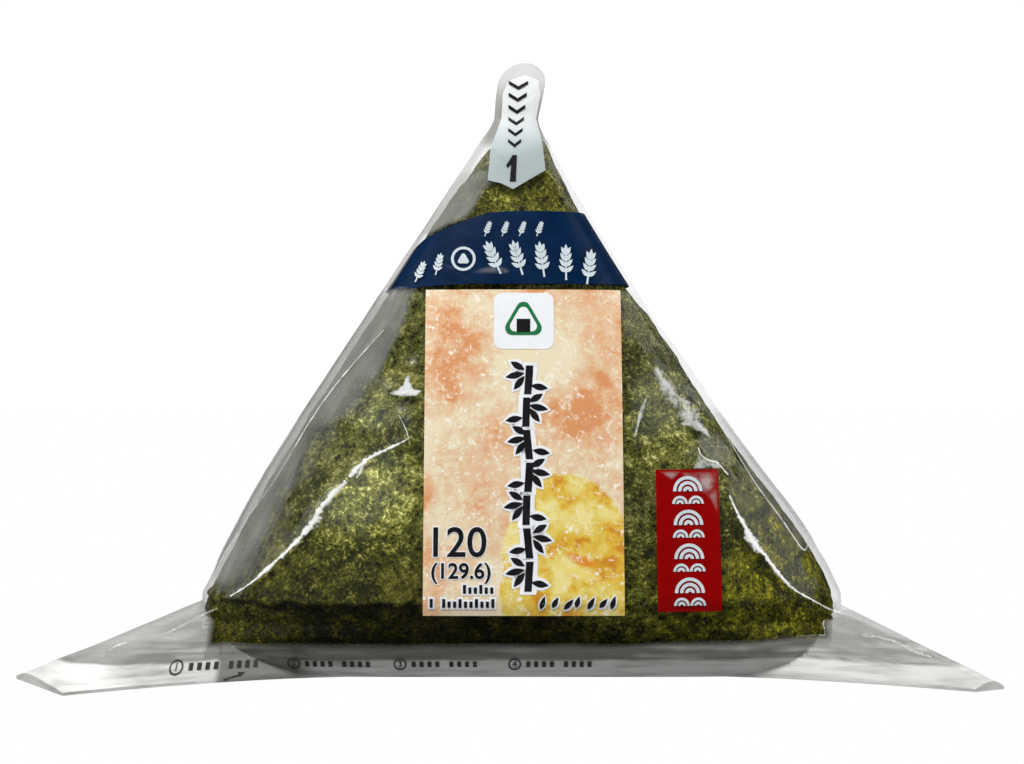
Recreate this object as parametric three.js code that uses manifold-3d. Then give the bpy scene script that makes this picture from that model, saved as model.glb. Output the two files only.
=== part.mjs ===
// A nori-covered triangular rice ball in a folded clear film pack, standing on its base.
// Millimetres, +Z up. The origin is the middle of the bottom of its box, and -Y is the front.

import * as THREE from 'three';
import { mergeVertices } from 'three/addons/utils/BufferGeometryUtils.js';
import Module from 'manifold-3d';

// Heights of the pack's main levels.
const HEEL_HEIGHT = 11.6;
const HIP_HEIGHT = 28.8;
const WAIST_HEIGHT = 47;
const SHOULDER_HEIGHT = 79.6;
const NECK_HEIGHT = 84.6;
const PACK_HEIGHT = 93.3;

// Half widths of the front outline at those levels.
const BASE_HALF_WIDTH = 43;
const HEEL_HALF_WIDTH = 48.9;
const HIP_HALF_WIDTH = 39;
const WAIST_HALF_WIDTH = 26.7;
const SHOULDER_HALF_WIDTH = 6;
const NECK_HALF_WIDTH = 3.4;
const TAB_HALF_WIDTH = 3.7;
const TIP_HALF_WIDTH = 1;

// Half depths of the side outline: both faces lean in towards the top.
const BASE_HALF_DEPTH = 13.4;
const HEEL_HALF_DEPTH = 20.2;
const SHOULDER_HALF_DEPTH = 5;
const NECK_HALF_DEPTH = 0.8;
const TIP_HALF_DEPTH = 0.5;
const FACE_BULGE = 1.2;

// The pack's middle line, which sways a little from side to side as it rises.
const BODY_Y = 5.35;
const TAB_BEND = 1.6;
const MIDDLE_LINE = new THREE.SplineCurve([
  new THREE.Vector2(3.2, 0),
  new THREE.Vector2(2.9, HEEL_HEIGHT + 7),
  new THREE.Vector2(1.6, HIP_HEIGHT + 5),
  new THREE.Vector2(1.1, WAIST_HEIGHT + 9),
  new THREE.Vector2(1.7, SHOULDER_HEIGHT),
  new THREE.Vector2(3.5, PACK_HEIGHT),
]);

// The section is a rounded oblong, and higher numbers make it squarer.
const SECTION_POWER = 3;
const AROUND = 48;
const LEVELS_BELOW_HEEL = 6;
const LEVELS_OF_BODY = 16;
const LEVELS_OF_NECK = 10;

// Film ears at the two lower corners, flattened towards their tips and flared to the front.
const EAR_LIP = 0.6;
const EAR_STEPS_LONG = 16;
const EAR_STEPS_WIDE = 12;
const LEFT_EAR = {
  side: -1,
  root: { x: 20, front: -14.5, back: 12, height: 20.4 },
  tip: { frontX: 61.1, front: -30.7, backX: 71.5, back: -15, height: 2.6 },
  flare: 1.7,
  ridge: 0.72,
};
const RIGHT_EAR = {
  side: 1,
  root: { x: 30, front: -12.6, back: 12, height: 20.2 },
  tip: { frontX: 66.8, front: -27.4, backX: 71.5, back: -24.6, height: 1.3 },
  flare: 1.5,
  ridge: 0.6,
};

// Printed and stuck-on fields: each is a thin skin lying just off the film.
const SKIN_GAP = 0.35;
const SKIN_THICKNESS = 0.35;
const LABEL = { left: -11.4, right: 17.8, bottom: 9.9, top: 57.5 };
const RED_PANEL = { left: 22.6, right: 32, bottom: 10.4, top: 30.8 };
const BAND_BOTTOM = 58.4;
const BAND_TOP = 69.5;
const BAND_DROP = 4;
const TAB_OUTLINE = [
  [1.65, 73.3],
  [6.7, 76.6],
  [6.1, 81.5],
  [5.2, 84.4],
  [5.9, 88.2],
  [5.6, 90.4],
  [3.5, 91.3],
  [0.6, 90.2],
  [-0.8, 88.2],
  [-0.9, 84.4],
  [-1.9, 79.1],
  [-2.2, 74.9],
];
const TAB_CUT_Y = BODY_Y - 0.2;
const CUTTER_REACH = 60;

const wasm = await Module();
wasm.setup();

function finish(color, roughness, metalness = 0) {
  return new THREE.MeshStandardMaterial({ color, roughness, metalness });
}

function solidFrom(geometry) {
  geometry.deleteAttribute('normal');
  geometry.deleteAttribute('uv');
  const merged = mergeVertices(geometry, 1e-4);
  return new wasm.Manifold(new wasm.Mesh({
    numProp: 3,
    vertProperties: new Float32Array(merged.attributes.position.array),
    triVerts: new Uint32Array(merged.index.array),
  }));
}

function meshFrom(name, solid, material) {
  const { vertProperties, triVerts } = solid.getMesh();
  const geometry = new THREE.BufferGeometry();
  geometry.setAttribute('position', new THREE.BufferAttribute(vertProperties, 3));
  geometry.setIndex(new THREE.BufferAttribute(triVerts, 1));
  geometry.computeVertexNormals();
  const mesh = new THREE.Mesh(geometry, material);
  mesh.name = name;
  return mesh;
}

// Half width of the pack over its height, as seen from the front.
function frontOutline() {
  const path = new THREE.Path();
  path.moveTo(BASE_HALF_WIDTH, 0);
  path.quadraticCurveTo(HEEL_HALF_WIDTH + 0.6, 4, HEEL_HALF_WIDTH, HEEL_HEIGHT);
  path.quadraticCurveTo(HIP_HALF_WIDTH + 6.2, 19.9, HIP_HALF_WIDTH, HIP_HEIGHT);
  path.lineTo(WAIST_HALF_WIDTH, WAIST_HEIGHT);
  path.quadraticCurveTo(15.6, 63.3, SHOULDER_HALF_WIDTH, SHOULDER_HEIGHT);
  path.quadraticCurveTo(NECK_HALF_WIDTH, NECK_HEIGHT - 1, NECK_HALF_WIDTH, NECK_HEIGHT);
  path.quadraticCurveTo(TAB_HALF_WIDTH, PACK_HEIGHT - 5, TAB_HALF_WIDTH, PACK_HEIGHT - 3.6);
  path.quadraticCurveTo(TAB_HALF_WIDTH, PACK_HEIGHT - 1, TIP_HALF_WIDTH, PACK_HEIGHT);
  return path.getPoints(24);
}

// Half depth of the pack over its height, as seen from the side.
function sideOutline() {
  const path = new THREE.Path();
  const middleDepth = (HEEL_HALF_DEPTH + SHOULDER_HALF_DEPTH) / 2 + FACE_BULGE;
  const middleHeight = (HEEL_HEIGHT + SHOULDER_HEIGHT) / 2;
  path.moveTo(BASE_HALF_DEPTH, 0);
  path.quadraticCurveTo(HEEL_HALF_DEPTH - 1.4, 3.2, HEEL_HALF_DEPTH, HEEL_HEIGHT);
  path.quadraticCurveTo(middleDepth, middleHeight, SHOULDER_HALF_DEPTH, SHOULDER_HEIGHT);
  path.quadraticCurveTo(NECK_HALF_DEPTH, NECK_HEIGHT - 1, NECK_HALF_DEPTH, NECK_HEIGHT);
  path.lineTo(TIP_HALF_DEPTH, PACK_HEIGHT);
  return path.getPoints(24);
}

// The outlines rise all the way, so the value at a height lies between two of their points.
function valueAt(points, height) {
  const next = Math.max(1, points.findIndex((point) => point.y >= height - 1e-6));
  const low = points[next - 1];
  const high = points[next];
  const share = (height - low.y) / (high.y - low.y);
  return THREE.MathUtils.lerp(low.x, high.x, THREE.MathUtils.clamp(share, 0, 1));
}

const FRONT_POINTS = frontOutline();
const SIDE_POINTS = sideOutline();
const MIDDLE_POINTS = MIDDLE_LINE.getPoints(60);

function levelHeights() {
  const zones = [
    [0, HEEL_HEIGHT, LEVELS_BELOW_HEEL],
    [HEEL_HEIGHT, SHOULDER_HEIGHT, LEVELS_OF_BODY],
    [SHOULDER_HEIGHT, PACK_HEIGHT, LEVELS_OF_NECK],
  ];
  const heights = [0];
  for (const [from, to, count] of zones) {
    for (let step = 1; step <= count; step += 1) {
      heights.push(THREE.MathUtils.lerp(from, to, step / count));
    }
  }
  return heights;
}

function roundedPower(value) {
  return Math.sign(value) * Math.abs(value) ** (2 / SECTION_POWER);
}

// The body of the pack: a closed cylinder whose rings are set to the pack's sections.
// A positive offset gives the same form grown outwards, which the skins are cut from.
function packBody(offset = 0) {
  const heights = levelHeights();
  const rows = heights.length - 1;
  const geometry = new THREE.CylinderGeometry(1, 1, 1, AROUND, rows);
  const position = geometry.attributes.position;
  for (let i = 0; i < position.count; i += 1) {
    const height = heights[Math.round((position.getY(i) + 0.5) * rows)];
    const angle = Math.atan2(-position.getZ(i), position.getX(i));
    const reach = Math.min(1, Math.hypot(position.getX(i), position.getZ(i)));
    const halfWidth = valueAt(FRONT_POINTS, height) + offset;
    const halfDepth = valueAt(SIDE_POINTS, height) + offset;
    const bend = TAB_BEND * Math.max(0, (height - NECK_HEIGHT) / (PACK_HEIGHT - NECK_HEIGHT)) ** 2;
    position.setXYZ(
      i,
      valueAt(MIDDLE_POINTS, height) + reach * halfWidth * roundedPower(Math.cos(angle)),
      BODY_Y + bend + reach * halfDepth * roundedPower(Math.sin(angle)),
      height,
    );
  }
  return solidFrom(geometry);
}

// One film ear: a box bent so that its top sinks from the pack's corner to a flat tip.
function filmEar({ side, root, tip, flare, ridge }) {
  const geometry = new THREE.BoxGeometry(1, 1, 1, EAR_STEPS_LONG, EAR_STEPS_WIDE, 1);
  const position = geometry.attributes.position;
  const lerp = THREE.MathUtils.lerp;
  for (let i = 0; i < position.count; i += 1) {
    const along = 0.5 + side * position.getX(i);
    const across = position.getY(i) + 0.5;
    const x = lerp(root.x, lerp(tip.frontX, tip.backX, across), along);
    const rootY = lerp(root.front, root.back, across);
    const tipY = lerp(tip.front, tip.back, across);
    const slope = across < ridge ? across / ridge : (1 - across) / (1 - ridge);
    const crown = lerp(root.height, tip.height, along) - EAR_LIP;
    const top = EAR_LIP + crown * Math.sin(slope * Math.PI / 2);
    const z = position.getZ(i) > 0 ? top : 0;
    position.setXYZ(i, side * x, BODY_Y + lerp(rootY, tipY, along ** flare), z);
  }
  return solidFrom(geometry);
}

// A flat outline in the front view, pushed through from one Y to another.
function cutter(points, fromY, toY) {
  const shape = new THREE.Shape(points.map(([x, z]) => new THREE.Vector2(x, z)));
  const geometry = new THREE.ExtrudeGeometry(shape, { depth: toY - fromY, bevelEnabled: false });
  geometry.rotateX(Math.PI / 2);
  geometry.translate(0, toY, 0);
  return solidFrom(geometry);
}

function corners({ left, right, bottom, top }) {
  return [[left, bottom], [right, bottom], [right, top], [left, top]];
}

// The band's edges sink where it turns round the loose fold of film on the left.
function bandOutline() {
  const foldStart = -5;
  const foldEnd = -26;
  return [
    [foldEnd, BAND_BOTTOM - 1],
    [foldStart, BAND_BOTTOM],
    [CUTTER_REACH, BAND_BOTTOM],
    [CUTTER_REACH, BAND_TOP],
    [foldStart, BAND_TOP],
    [foldStart - 7, BAND_TOP - BAND_DROP / 2],
    [foldEnd, BAND_TOP - 2 * BAND_DROP],
  ];
}

const skinShell = packBody(SKIN_GAP + SKIN_THICKNESS).subtract(packBody(SKIN_GAP));

function frontSkin(points, backY = BODY_Y) {
  return skinShell.intersect(cutter(points, -CUTTER_REACH, backY));
}

const filmPack = packBody().add(filmEar(LEFT_EAR)).add(filmEar(RIGHT_EAR));
const blueBand = skinShell.intersect(cutter(bandOutline(), -CUTTER_REACH, CUTTER_REACH));

const riceBallPack = new THREE.Group();
riceBallPack.add(
  meshFrom('film_pack', filmPack, finish(0x5a5d33, 0.35)),
  meshFrom('front_label', frontSkin(corners(LABEL)), finish(0xe4c39a, 0.45)),
  meshFrom('blue_band', blueBand, finish(0x062043, 0.35)),
  meshFrom('red_panel', frontSkin(corners(RED_PANEL)), finish(0x8d0a0c, 0.35)),
  meshFrom('pull_tab', frontSkin(TAB_OUTLINE, TAB_CUT_Y), finish(0xe6eaea, 0.4)),
);

export default riceBallPack;
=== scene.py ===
# %% [markdown]
# A rice ball wrapped in nori and shut in a folded clear film pack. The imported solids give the
# frame: one solid for the whole pack and four thin skins for what is stuck or printed on it.
# This script dresses that frame with a real film, the nori inside it, the printing and the light.

# %% Load the frame
import math

import bmesh
import bpy
import numpy as np
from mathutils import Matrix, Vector, noise


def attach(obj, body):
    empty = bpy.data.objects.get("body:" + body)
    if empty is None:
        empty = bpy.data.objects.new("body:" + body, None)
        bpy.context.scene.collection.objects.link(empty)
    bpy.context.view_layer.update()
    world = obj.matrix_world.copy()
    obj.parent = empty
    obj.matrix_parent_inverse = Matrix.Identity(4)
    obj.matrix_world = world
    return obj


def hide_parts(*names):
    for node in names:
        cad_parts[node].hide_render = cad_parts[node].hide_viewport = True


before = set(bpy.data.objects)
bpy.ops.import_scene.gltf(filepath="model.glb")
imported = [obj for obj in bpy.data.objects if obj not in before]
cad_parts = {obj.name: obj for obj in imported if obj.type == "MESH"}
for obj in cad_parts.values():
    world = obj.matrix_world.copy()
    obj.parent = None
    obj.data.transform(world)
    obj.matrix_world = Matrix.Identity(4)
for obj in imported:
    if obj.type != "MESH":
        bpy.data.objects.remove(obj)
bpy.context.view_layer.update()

MM = 0.001

# %% [markdown]
# The photograph was taken from straight ahead, with the lens about as high as the middle of the
# pack. A camera 300 mm away shows the front leaning back as it does there. Its lens is worked out
# from how many pixels one millimetre takes at the middle of the pack.

# %% Camera
BODY_Y = 5.35
CAMERA_DISTANCE = 300
CAMERA_X = 1.5
CAMERA_HEIGHT = 43.7
PIXELS_PER_MM = 6.45
IMAGE_WIDTH = 1024
SENSOR_WIDTH = 36


def make_camera():
    data = bpy.data.cameras.new("camera")
    data.sensor_width = SENSOR_WIDTH
    data.lens = PIXELS_PER_MM * CAMERA_DISTANCE * SENSOR_WIDTH / IMAGE_WIDTH
    data.clip_start = 0.01
    camera = bpy.data.objects.new("camera", data)
    camera.location = Vector((CAMERA_X, BODY_Y - CAMERA_DISTANCE, CAMERA_HEIGHT)) * MM
    camera.rotation_euler = (math.pi / 2, 0, 0)
    bpy.context.collection.objects.link(camera)
    bpy.context.scene.camera = camera
    print("lens", round(data.lens, 1), "mm")


make_camera()

# %% [markdown]
# Every piece follows the form of the pack, so that form is written down once. Two outlines give
# the half width and the half depth at each height, and a middle line sways gently as it rises.
# The numbers are the real sizes in millimetres that the solids were drawn from.

# %% The form of the pack
HEEL = 11.6
HIP = 28.8
WAIST = 47
SHOULDER = 79.6
NECK = 84.6
TOP = 93.3
TAB_BEND = 1.6
FILM_POWER = 3


def bent(start, pull, end, steps=24):
    """Points along a quadratic curve; each point is a value and a height."""
    t = np.linspace(0, 1, steps)[:, None]
    start, pull, end = map(np.array, (start, pull, end))
    return (1 - t) ** 2 * start + 2 * t * (1 - t) * pull + t ** 2 * end


def spline(points, steps=10):
    """A smooth line through all its points."""
    p = np.array([points[0], *points, points[-1]], float)
    t = np.linspace(0, 1, steps, endpoint=False)[:, None]
    rows = [
        0.5 * (2 * b + (c - a) * t + (2 * a - 5 * b + 4 * c - d) * t**2 + (3 * b - a - 3 * c + d) * t**3)
        for a, b, c, d in zip(p, p[1:], p[2:], p[3:])
    ]
    return np.vstack([*rows, p[-1:]])


WIDTH_LINE = np.vstack([
    bent((43, 0), (49.5, 4), (48.9, HEEL)),
    bent((48.9, HEEL), (45.2, 19.9), (39, HIP)),
    bent((39, HIP), (32.85, 37.9), (26.7, WAIST)),
    bent((26.7, WAIST), (15.6, 63.3), (6, SHOULDER)),
    bent((6, SHOULDER), (3.4, NECK - 1), (3.4, NECK)),
    bent((3.4, NECK), (3.7, TOP - 5), (3.7, TOP - 3.6)),
    bent((3.7, TOP - 3.6), (3.7, TOP - 1), (1, TOP)),
])
DEPTH_LINE = np.vstack([
    bent((13.4, 0), (18.8, 3.2), (20.2, HEEL)),
    bent((20.2, HEEL), (13.8, 45.6), (5, SHOULDER)),
    bent((5, SHOULDER), (0.8, NECK - 1), (0.8, NECK)),
    bent((0.8, NECK), (0.65, 89), (0.5, TOP)),
])
MIDDLE_LINE = spline([
    (3.2, 0), (2.9, HEEL + 7), (1.6, HIP + 5), (1.1, WAIST + 9), (1.7, SHOULDER), (3.5, TOP),
])


def half_width(z):
    return np.interp(z, WIDTH_LINE[:, 1], WIDTH_LINE[:, 0])


def half_depth(z):
    return np.interp(z, DEPTH_LINE[:, 1], DEPTH_LINE[:, 0])


def middle(z):
    return np.interp(z, MIDDLE_LINE[:, 1], MIDDLE_LINE[:, 0])


def spine_y(z):
    return BODY_Y + TAB_BEND * np.clip((z - NECK) / (TOP - NECK), 0, None) ** 2


def roundness(z):
    """The power that shapes the section: higher at the foot, whose corners are fuller."""
    return np.interp(z, (0, 4, 8), (5, 4.4, FILM_POWER))


def front_y(x, z):
    """Where the front of the pack lies at a place in the front view."""
    across = np.clip(np.abs(x - middle(z)) / half_width(z), 0, 1)
    power = roundness(z)
    return spine_y(z) - half_depth(z) * (1 - across**power) ** (1 / power)


def in_picture(points):
    """Where the camera sees points, as sideways place and height at the middle of the pack."""
    x, y, z = points.T
    zoom = CAMERA_DISTANCE / (CAMERA_DISTANCE - BODY_Y + y)
    return CAMERA_X + (x - CAMERA_X) * zoom, CAMERA_HEIGHT + (z - CAMERA_HEIGHT) * zoom


def section(turn, z, power, side_inset, face_inset):
    """Points on the rounded oblong section; turn 0 is the middle of the front."""
    s, c = np.sin(turn), np.cos(turn)
    reach = (np.abs(s) ** power + np.abs(c) ** power) ** (-1 / power)
    x = middle(z) + (half_width(z) - side_inset) * reach * s
    y = spine_y(z) - (half_depth(z) - face_inset) * reach * c
    return np.column_stack([x, y, z])


def turn_at(x, z):
    """The turn at which the front of the pack passes a place in the front view."""
    across = np.clip((x - middle(z)) / half_width(z), -0.9999, 0.9999)
    cube = np.abs(across) ** FILM_POWER
    return np.sign(across) * np.arctan((cube / (1 - cube)) ** (1 / FILM_POWER))


print("half width at the heel", half_width(HEEL), "half depth", half_depth(HEEL))

# %% [markdown]
# Film holds its folds. The long creases run from the root of each ear up across the front, where
# the side flaps stop being double. Each is a short list of places in the front view, with how far
# it lifts the film and how wide it is, and film near it rises like the ridge of a tent. Printed
# fields stay flat, because the sticker and the ink stiffen the film.

# %% Creases and cockles of the film
CREASES = {
    "left": ([(-40.6, 11.6), (-35.2, 15.6), (-30.1, 20.3), (-26, 26), (-22.4, 29.7), (-18.2, 33.2),
              (-13.8, 35.6), (-15.2, 38.8)], 0.25, 1.6),
    "right": ([(33.6, 26.8), (37.1, 19.7), (43, 13.2), (49, 9.6)], 0.35, 1.8),
    "left_fan": ([(-17.4, 42.1), (-14.4, 44), (-13.4, 46)], 0.3, 2.6),
    "right_fan": ([(29.1, 33.9), (30.6, 32.1), (33.6, 29.9)], 0.4, 2.6),
    "right_soft": ([(22.9, 45.9), (26, 40.7), (29.4, 36.5)], 0.35, 3.0),
    "right_flap": ([(28.3, 43.2), (33.6, 35.9), (37.9, 28.6), (43.1, 20.7), (46, 19.5)], 0.35, 1.8),
    "left_flap": ([(-17.7, 51.5), (-24.4, 44), (-28.9, 37.7), (-33.9, 29.2), (-38.5, 22.8)], 0.5, 2.2),
}
LABEL = (-11.4, 17.8, 9.9, 57.5)
RED_PANEL = (22.6, 32, 10.4, 30.8)
BAND_LOW = 58.4
BAND_HIGH = 69.5
PRINTED = (LABEL, RED_PANEL, (-18, 20, BAND_LOW, BAND_HIGH))
PRINT_MARGIN = 1.6
PLEAT_DEPTH = 0.3
COCKLE_DEPTH = 0.26
RIPPLE_DEPTH = 0.06
HEM_FOLD_DEPTH = 0.4


def wander(points, scale, seed=0.0):
    """Soft noise between -1 and 1 at each point; scale may differ along x, y and z."""
    scale = Vector(scale) if np.ndim(scale) else Vector((scale,) * 3)
    offset = Vector((seed, -seed, seed * 0.5))
    return np.array([noise.noise(Vector(p) * scale + offset) for p in points.tolist()])


def soft_step(value, low, high):
    t = np.clip((value - low) / (high - low), 0, 1)
    return t * t * (3 - 2 * t)


def nearest(line, x, z):
    """How far each place in the front view is from a line, and how far along the line that is."""
    gap = np.full_like(x, np.inf)
    share = np.zeros_like(x)
    for index, (start, end) in enumerate(zip(line, line[1:])):
        step = end - start
        t = np.clip(((x - start[0]) * step[0] + (z - start[1]) * step[1]) / (step @ step), 0, 1)
        distance = np.hypot(x - start[0] - t * step[0], z - start[1] - t * step[1])
        closer = distance < gap
        gap = np.where(closer, distance, gap)
        share = np.where(closer, (index + t) / (len(line) - 1), share)
    return gap, share


def line_x(line, z):
    return np.interp(z, line[:, 1], line[:, 0])


def line_z(line, x):
    return np.interp(x, *zip(*line))


def left_of_crease(x, z):
    """1 on the dull side of the long left crease, where the nori takes painted shade and sheens fade."""
    line = spline(CREASES["left"][0])
    return soft_step(line_x(line, z) - x, 0, 1.5) * soft_step(z, 12, 16) * soft_step(38 - z, 0, 3)


def crease_lift(x, z):
    total = np.zeros_like(x)
    for points, lift, reach in CREASES.values():
        tent = np.clip(1 - nearest(spline(points), x, z)[0] / reach, 0, 1) ** 1.4
        total = np.maximum(total, lift * tent)
    return total


def print_mask(x, z):
    """1 away from the printed fields, 0 on them."""
    mask = np.ones_like(x)
    for left, right, bottom, top in PRINTED:
        outside = np.maximum(np.maximum(left - x, x - right), np.maximum(bottom - z, z - top))
        mask *= soft_step(outside, 0, PRINT_MARGIN)
    return mask


def film_relief(points):
    """How far the film stands off the plain form, in millimetres."""
    x, y, z = points.T
    front = soft_step(BODY_Y - y, 0, 3)
    mask = 1 - front * (1 - print_mask(x, z))
    edge = half_width(z) - np.abs(x - middle(z))
    flank = soft_step(7 - edge, 0, 5) * soft_step(z, 6, 14) * soft_step(82 - z, 0, 6)
    along_fold = np.column_stack([edge, y, z])
    pleats = wander(along_fold, (0.5, 0.2, 0.04), 3.1) * PLEAT_DEPTH
    cockle = wander(points, 0.14, 7.7) * COCKLE_DEPTH + wander(points, 0.5, 1.3) * RIPPLE_DEPTH
    hem = soft_step(7 - z, 0, 3) * soft_step(z, 0, 1.2)
    hem_folds = wander(points, (0.1, 0.3, 1.3), 5.2) * HEM_FOLD_DEPTH
    body = crease_lift(x, z) * front + cockle * soft_step(z, 1, 6) * soft_step(86 - z, 0, 8)
    return mask * body + flank * pleats * (0.3 + 0.7 * mask) + hem * hem_folds


# %% [markdown]
# A closed skin such as the film or the nori starts as a flat grid. Rolling the grid round brings
# its two sides together, where the doubles are merged, and the open ends are filled. Working
# with a turn angle and a height for each vertex keeps the code short.

# %% Helpers that make meshes
SHARP_ANGLE = math.radians(50)


def coordinates(bm):
    return np.array([v.co[:] for v in bm.verts])


def move_to(bm, points):
    for vert, point in zip(bm.verts, points.tolist()):
        vert.co = point


def finished(name, bm, material, **values):
    """A smooth-shaded object at the origin from a bmesh in millimetres, with vertex values."""
    bmesh.ops.scale(bm, vec=(MM, MM, MM), verts=bm.verts)
    mesh = bpy.data.meshes.new(name)
    bm.to_mesh(mesh)
    bm.free()
    mesh.polygons.foreach_set("use_smooth", [True] * len(mesh.polygons))
    mesh.set_sharp_from_angle(angle=SHARP_ANGLE)
    mesh.materials.append(material)
    for key, data in values.items():
        store_value(mesh, key, data)
    piece = bpy.data.objects.new(name, mesh)
    bpy.context.collection.objects.link(piece)
    return piece


def store_value(mesh, key, data):
    """Keeps a number or a vector for each vertex, for the material to read."""
    vector = np.ndim(data) == 2
    layer = mesh.attributes.new(key, "FLOAT_VECTOR" if vector else "FLOAT", "POINT")
    layer.data.foreach_set("vector" if vector else "value", np.ravel(data))


def closed_grid(columns, rows, place):
    """A flat grid rolled into a closed skin; place turns (turn, share of height) into points."""
    bm = bmesh.new()
    bmesh.ops.create_grid(bm, x_segments=columns, y_segments=rows, size=0.5)
    flat = coordinates(bm)
    move_to(bm, place(flat[:, 0] * 2 * math.pi, flat[:, 1] + 0.5))
    bmesh.ops.remove_doubles(bm, verts=bm.verts, dist=1e-4)
    ends = bmesh.ops.holes_fill(bm, edges=[e for e in bm.edges if e.is_boundary], sides=0)["faces"]
    bmesh.ops.poke(bm, faces=ends)
    bmesh.ops.recalc_face_normals(bm, faces=bm.faces)
    return bm


def sheet_grid(columns, rows, place, thickness=0.04):
    """A thin closed sheet; place turns (share across, share along) into points."""
    bm = bmesh.new()
    bmesh.ops.create_grid(bm, x_segments=columns, y_segments=rows, size=0.5)
    flat = coordinates(bm)
    move_to(bm, place(flat[:, 0] + 0.5, flat[:, 1] + 0.5))
    return thicken(bm, thickness)


def thicken(bm, thickness):
    """Gives an open sheet a second face and a rim, so that it is a closed solid."""
    bm.normal_update()
    made = bmesh.ops.extrude_face_region(bm, geom=list(bm.faces))["geom"]
    for vert in (item for item in made if isinstance(item, bmesh.types.BMVert)):
        vert.co += vert.normal * thickness
    bmesh.ops.recalc_face_normals(bm, faces=bm.faces)
    return bm


def push_out(bm, amounts):
    """Moves each vertex along its normal by an amount in millimetres."""
    bm.normal_update()
    for vert, amount in zip(bm.verts, amounts.tolist()):
        vert.co += vert.normal * amount


# %% [markdown]
# Materials are short recipes of nodes. These helpers place a node, fill its sockets with numbers
# or with other sockets, and give back what the next node needs. Two node groups are shared: one
# mixes flecks of several sizes, and one gives the fine crinkle of thin film as a normal.

# %% Node helpers and shared groups
def node(tree, kind, inputs=None, **settings):
    made = tree.nodes.new("ShaderNode" + kind)
    for key, value in settings.items():
        setattr(made, key, value)
    for key, value in (inputs or {}).items():
        if isinstance(value, bpy.types.NodeSocket):
            tree.links.new(value, made.inputs[key])
        else:
            made.inputs[key].default_value = value
    return made


def new_material(name, **constants):
    material = bpy.data.materials.new(name)
    material.use_nodes = True
    tree = material.node_tree
    shader = tree.nodes["Principled BSDF"]
    for key, value in constants.items():
        shader.inputs[key.replace("_", " ")].default_value = value
    return material, tree, shader, node(tree, "TexCoord").outputs["Object"]


def feed(tree, shader, **sockets):
    for key, socket in sockets.items():
        tree.links.new(socket, shader.inputs[key.replace("_", " ")])


def cloudy(tree, place, scale, detail=3.0, rough=0.55, distortion=0.0):
    settings = {"Vector": place, "Scale": scale, "Detail": detail}
    return node(tree, "TexNoise", {**settings, "Roughness": rough, "Distortion": distortion}).outputs["Fac"]


def remap(tree, value, low, high, to_low=0.0, to_high=1.0):
    settings = {"Value": value, "From Min": low, "From Max": high, "To Min": to_low, "To Max": to_high}
    return node(tree, "MapRange", settings).outputs["Result"]


def calculate(tree, operation, *values):
    return node(tree, "Math", dict(enumerate(values)), operation=operation).outputs[0]


def ramp(tree, share, *stops):
    made = node(tree, "ValToRGB", {"Fac": share})
    elements = made.color_ramp.elements
    while len(elements) < len(stops):
        elements.new(0.5)
    for element, (place, color) in zip(elements, stops):
        element.position = place
        element.color = (*color, 1)
    return made.outputs["Color"]


def paint(color):
    return color if isinstance(color, bpy.types.NodeSocket) else (*color, 1)


def blend(tree, share, under, over, kind="MIX"):
    inputs = {0: share, 6: paint(under), 7: paint(over)}
    return node(tree, "Mix", inputs, data_type="RGBA", blend_type=kind).outputs[2]


def new_group(name, inputs, outputs):
    group = bpy.data.node_groups.new(name, "ShaderNodeTree")
    for label, kind in inputs.items():
        group.interface.new_socket(label, in_out="INPUT", socket_type="NodeSocket" + kind)
    for label, kind in outputs.items():
        group.interface.new_socket(label, in_out="OUTPUT", socket_type="NodeSocket" + kind)
    return group, group.nodes.new("NodeGroupInput").outputs, group.nodes.new("NodeGroupOutput")


FIBRE_ANGLES = (-50, 12, 65)
FIBRE_STRETCH = 2.2
TUFT_SIZE = 0.22
TUFT_SHARE = 0.34


def make_crinkle_group():
    inputs = {"Vector": "Vector", "Scale": "Float", "Height": "Float"}
    group, given, out = new_group("film_crinkle", inputs, {"Normal": "Vector"})
    wrinkle = cloudy(group, given["Vector"], given["Scale"], 3.0, 0.5, 1.2)
    bump = node(group, "Bump", {"Height": wrinkle, "Distance": given["Height"]})
    group.links.new(bump.outputs["Normal"], out.inputs["Normal"])
    return group


def make_fleck_group():
    inputs = {"Vector": "Vector", "Fleck Scale": "Float", "Drift Scale": "Float"}
    group, given, out = new_group("flecks", inputs, {"Flecks": "Float", "Drift": "Float"})
    flecks = None
    for angle in FIBRE_ANGLES:
        turn = (0, math.radians(angle), 0)
        settings = {"Vector": given["Vector"], "Rotation": turn, "Scale": (1, 1, FIBRE_STRETCH)}
        turned_place = node(group, "Mapping", settings, vector_type="TEXTURE").outputs["Vector"]
        fibre = cloudy(group, turned_place, given["Fleck Scale"], 2.0, 0.6, 0.1)
        flecks = fibre if flecks is None else calculate(group, "MAXIMUM", flecks, fibre)
    tuft_scale = calculate(group, "MULTIPLY", given["Fleck Scale"], TUFT_SIZE)
    tufts = cloudy(group, given["Vector"], tuft_scale, 2.0, 0.5, 0.4)
    flecks = calculate(group, "MULTIPLY", flecks, 1 - TUFT_SHARE)
    flecks = calculate(group, "MULTIPLY_ADD", tufts, TUFT_SHARE, flecks)
    drift = cloudy(group, given["Vector"], given["Drift Scale"], 3.0, 0.6)
    group.links.new(flecks, out.inputs["Flecks"])
    group.links.new(drift, out.inputs["Drift"])
    return group


CRINKLE = make_crinkle_group()
FLECKS = make_fleck_group()


def use_group(tree, group, **values):
    made = tree.nodes.new("ShaderNodeGroup")
    made.node_tree = group
    for key, value in values.items():
        socket = made.inputs[key.replace("_", " ")]
        if isinstance(value, bpy.types.NodeSocket):
            tree.links.new(value, socket)
        else:
            socket.default_value = value
    return made.outputs
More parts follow.
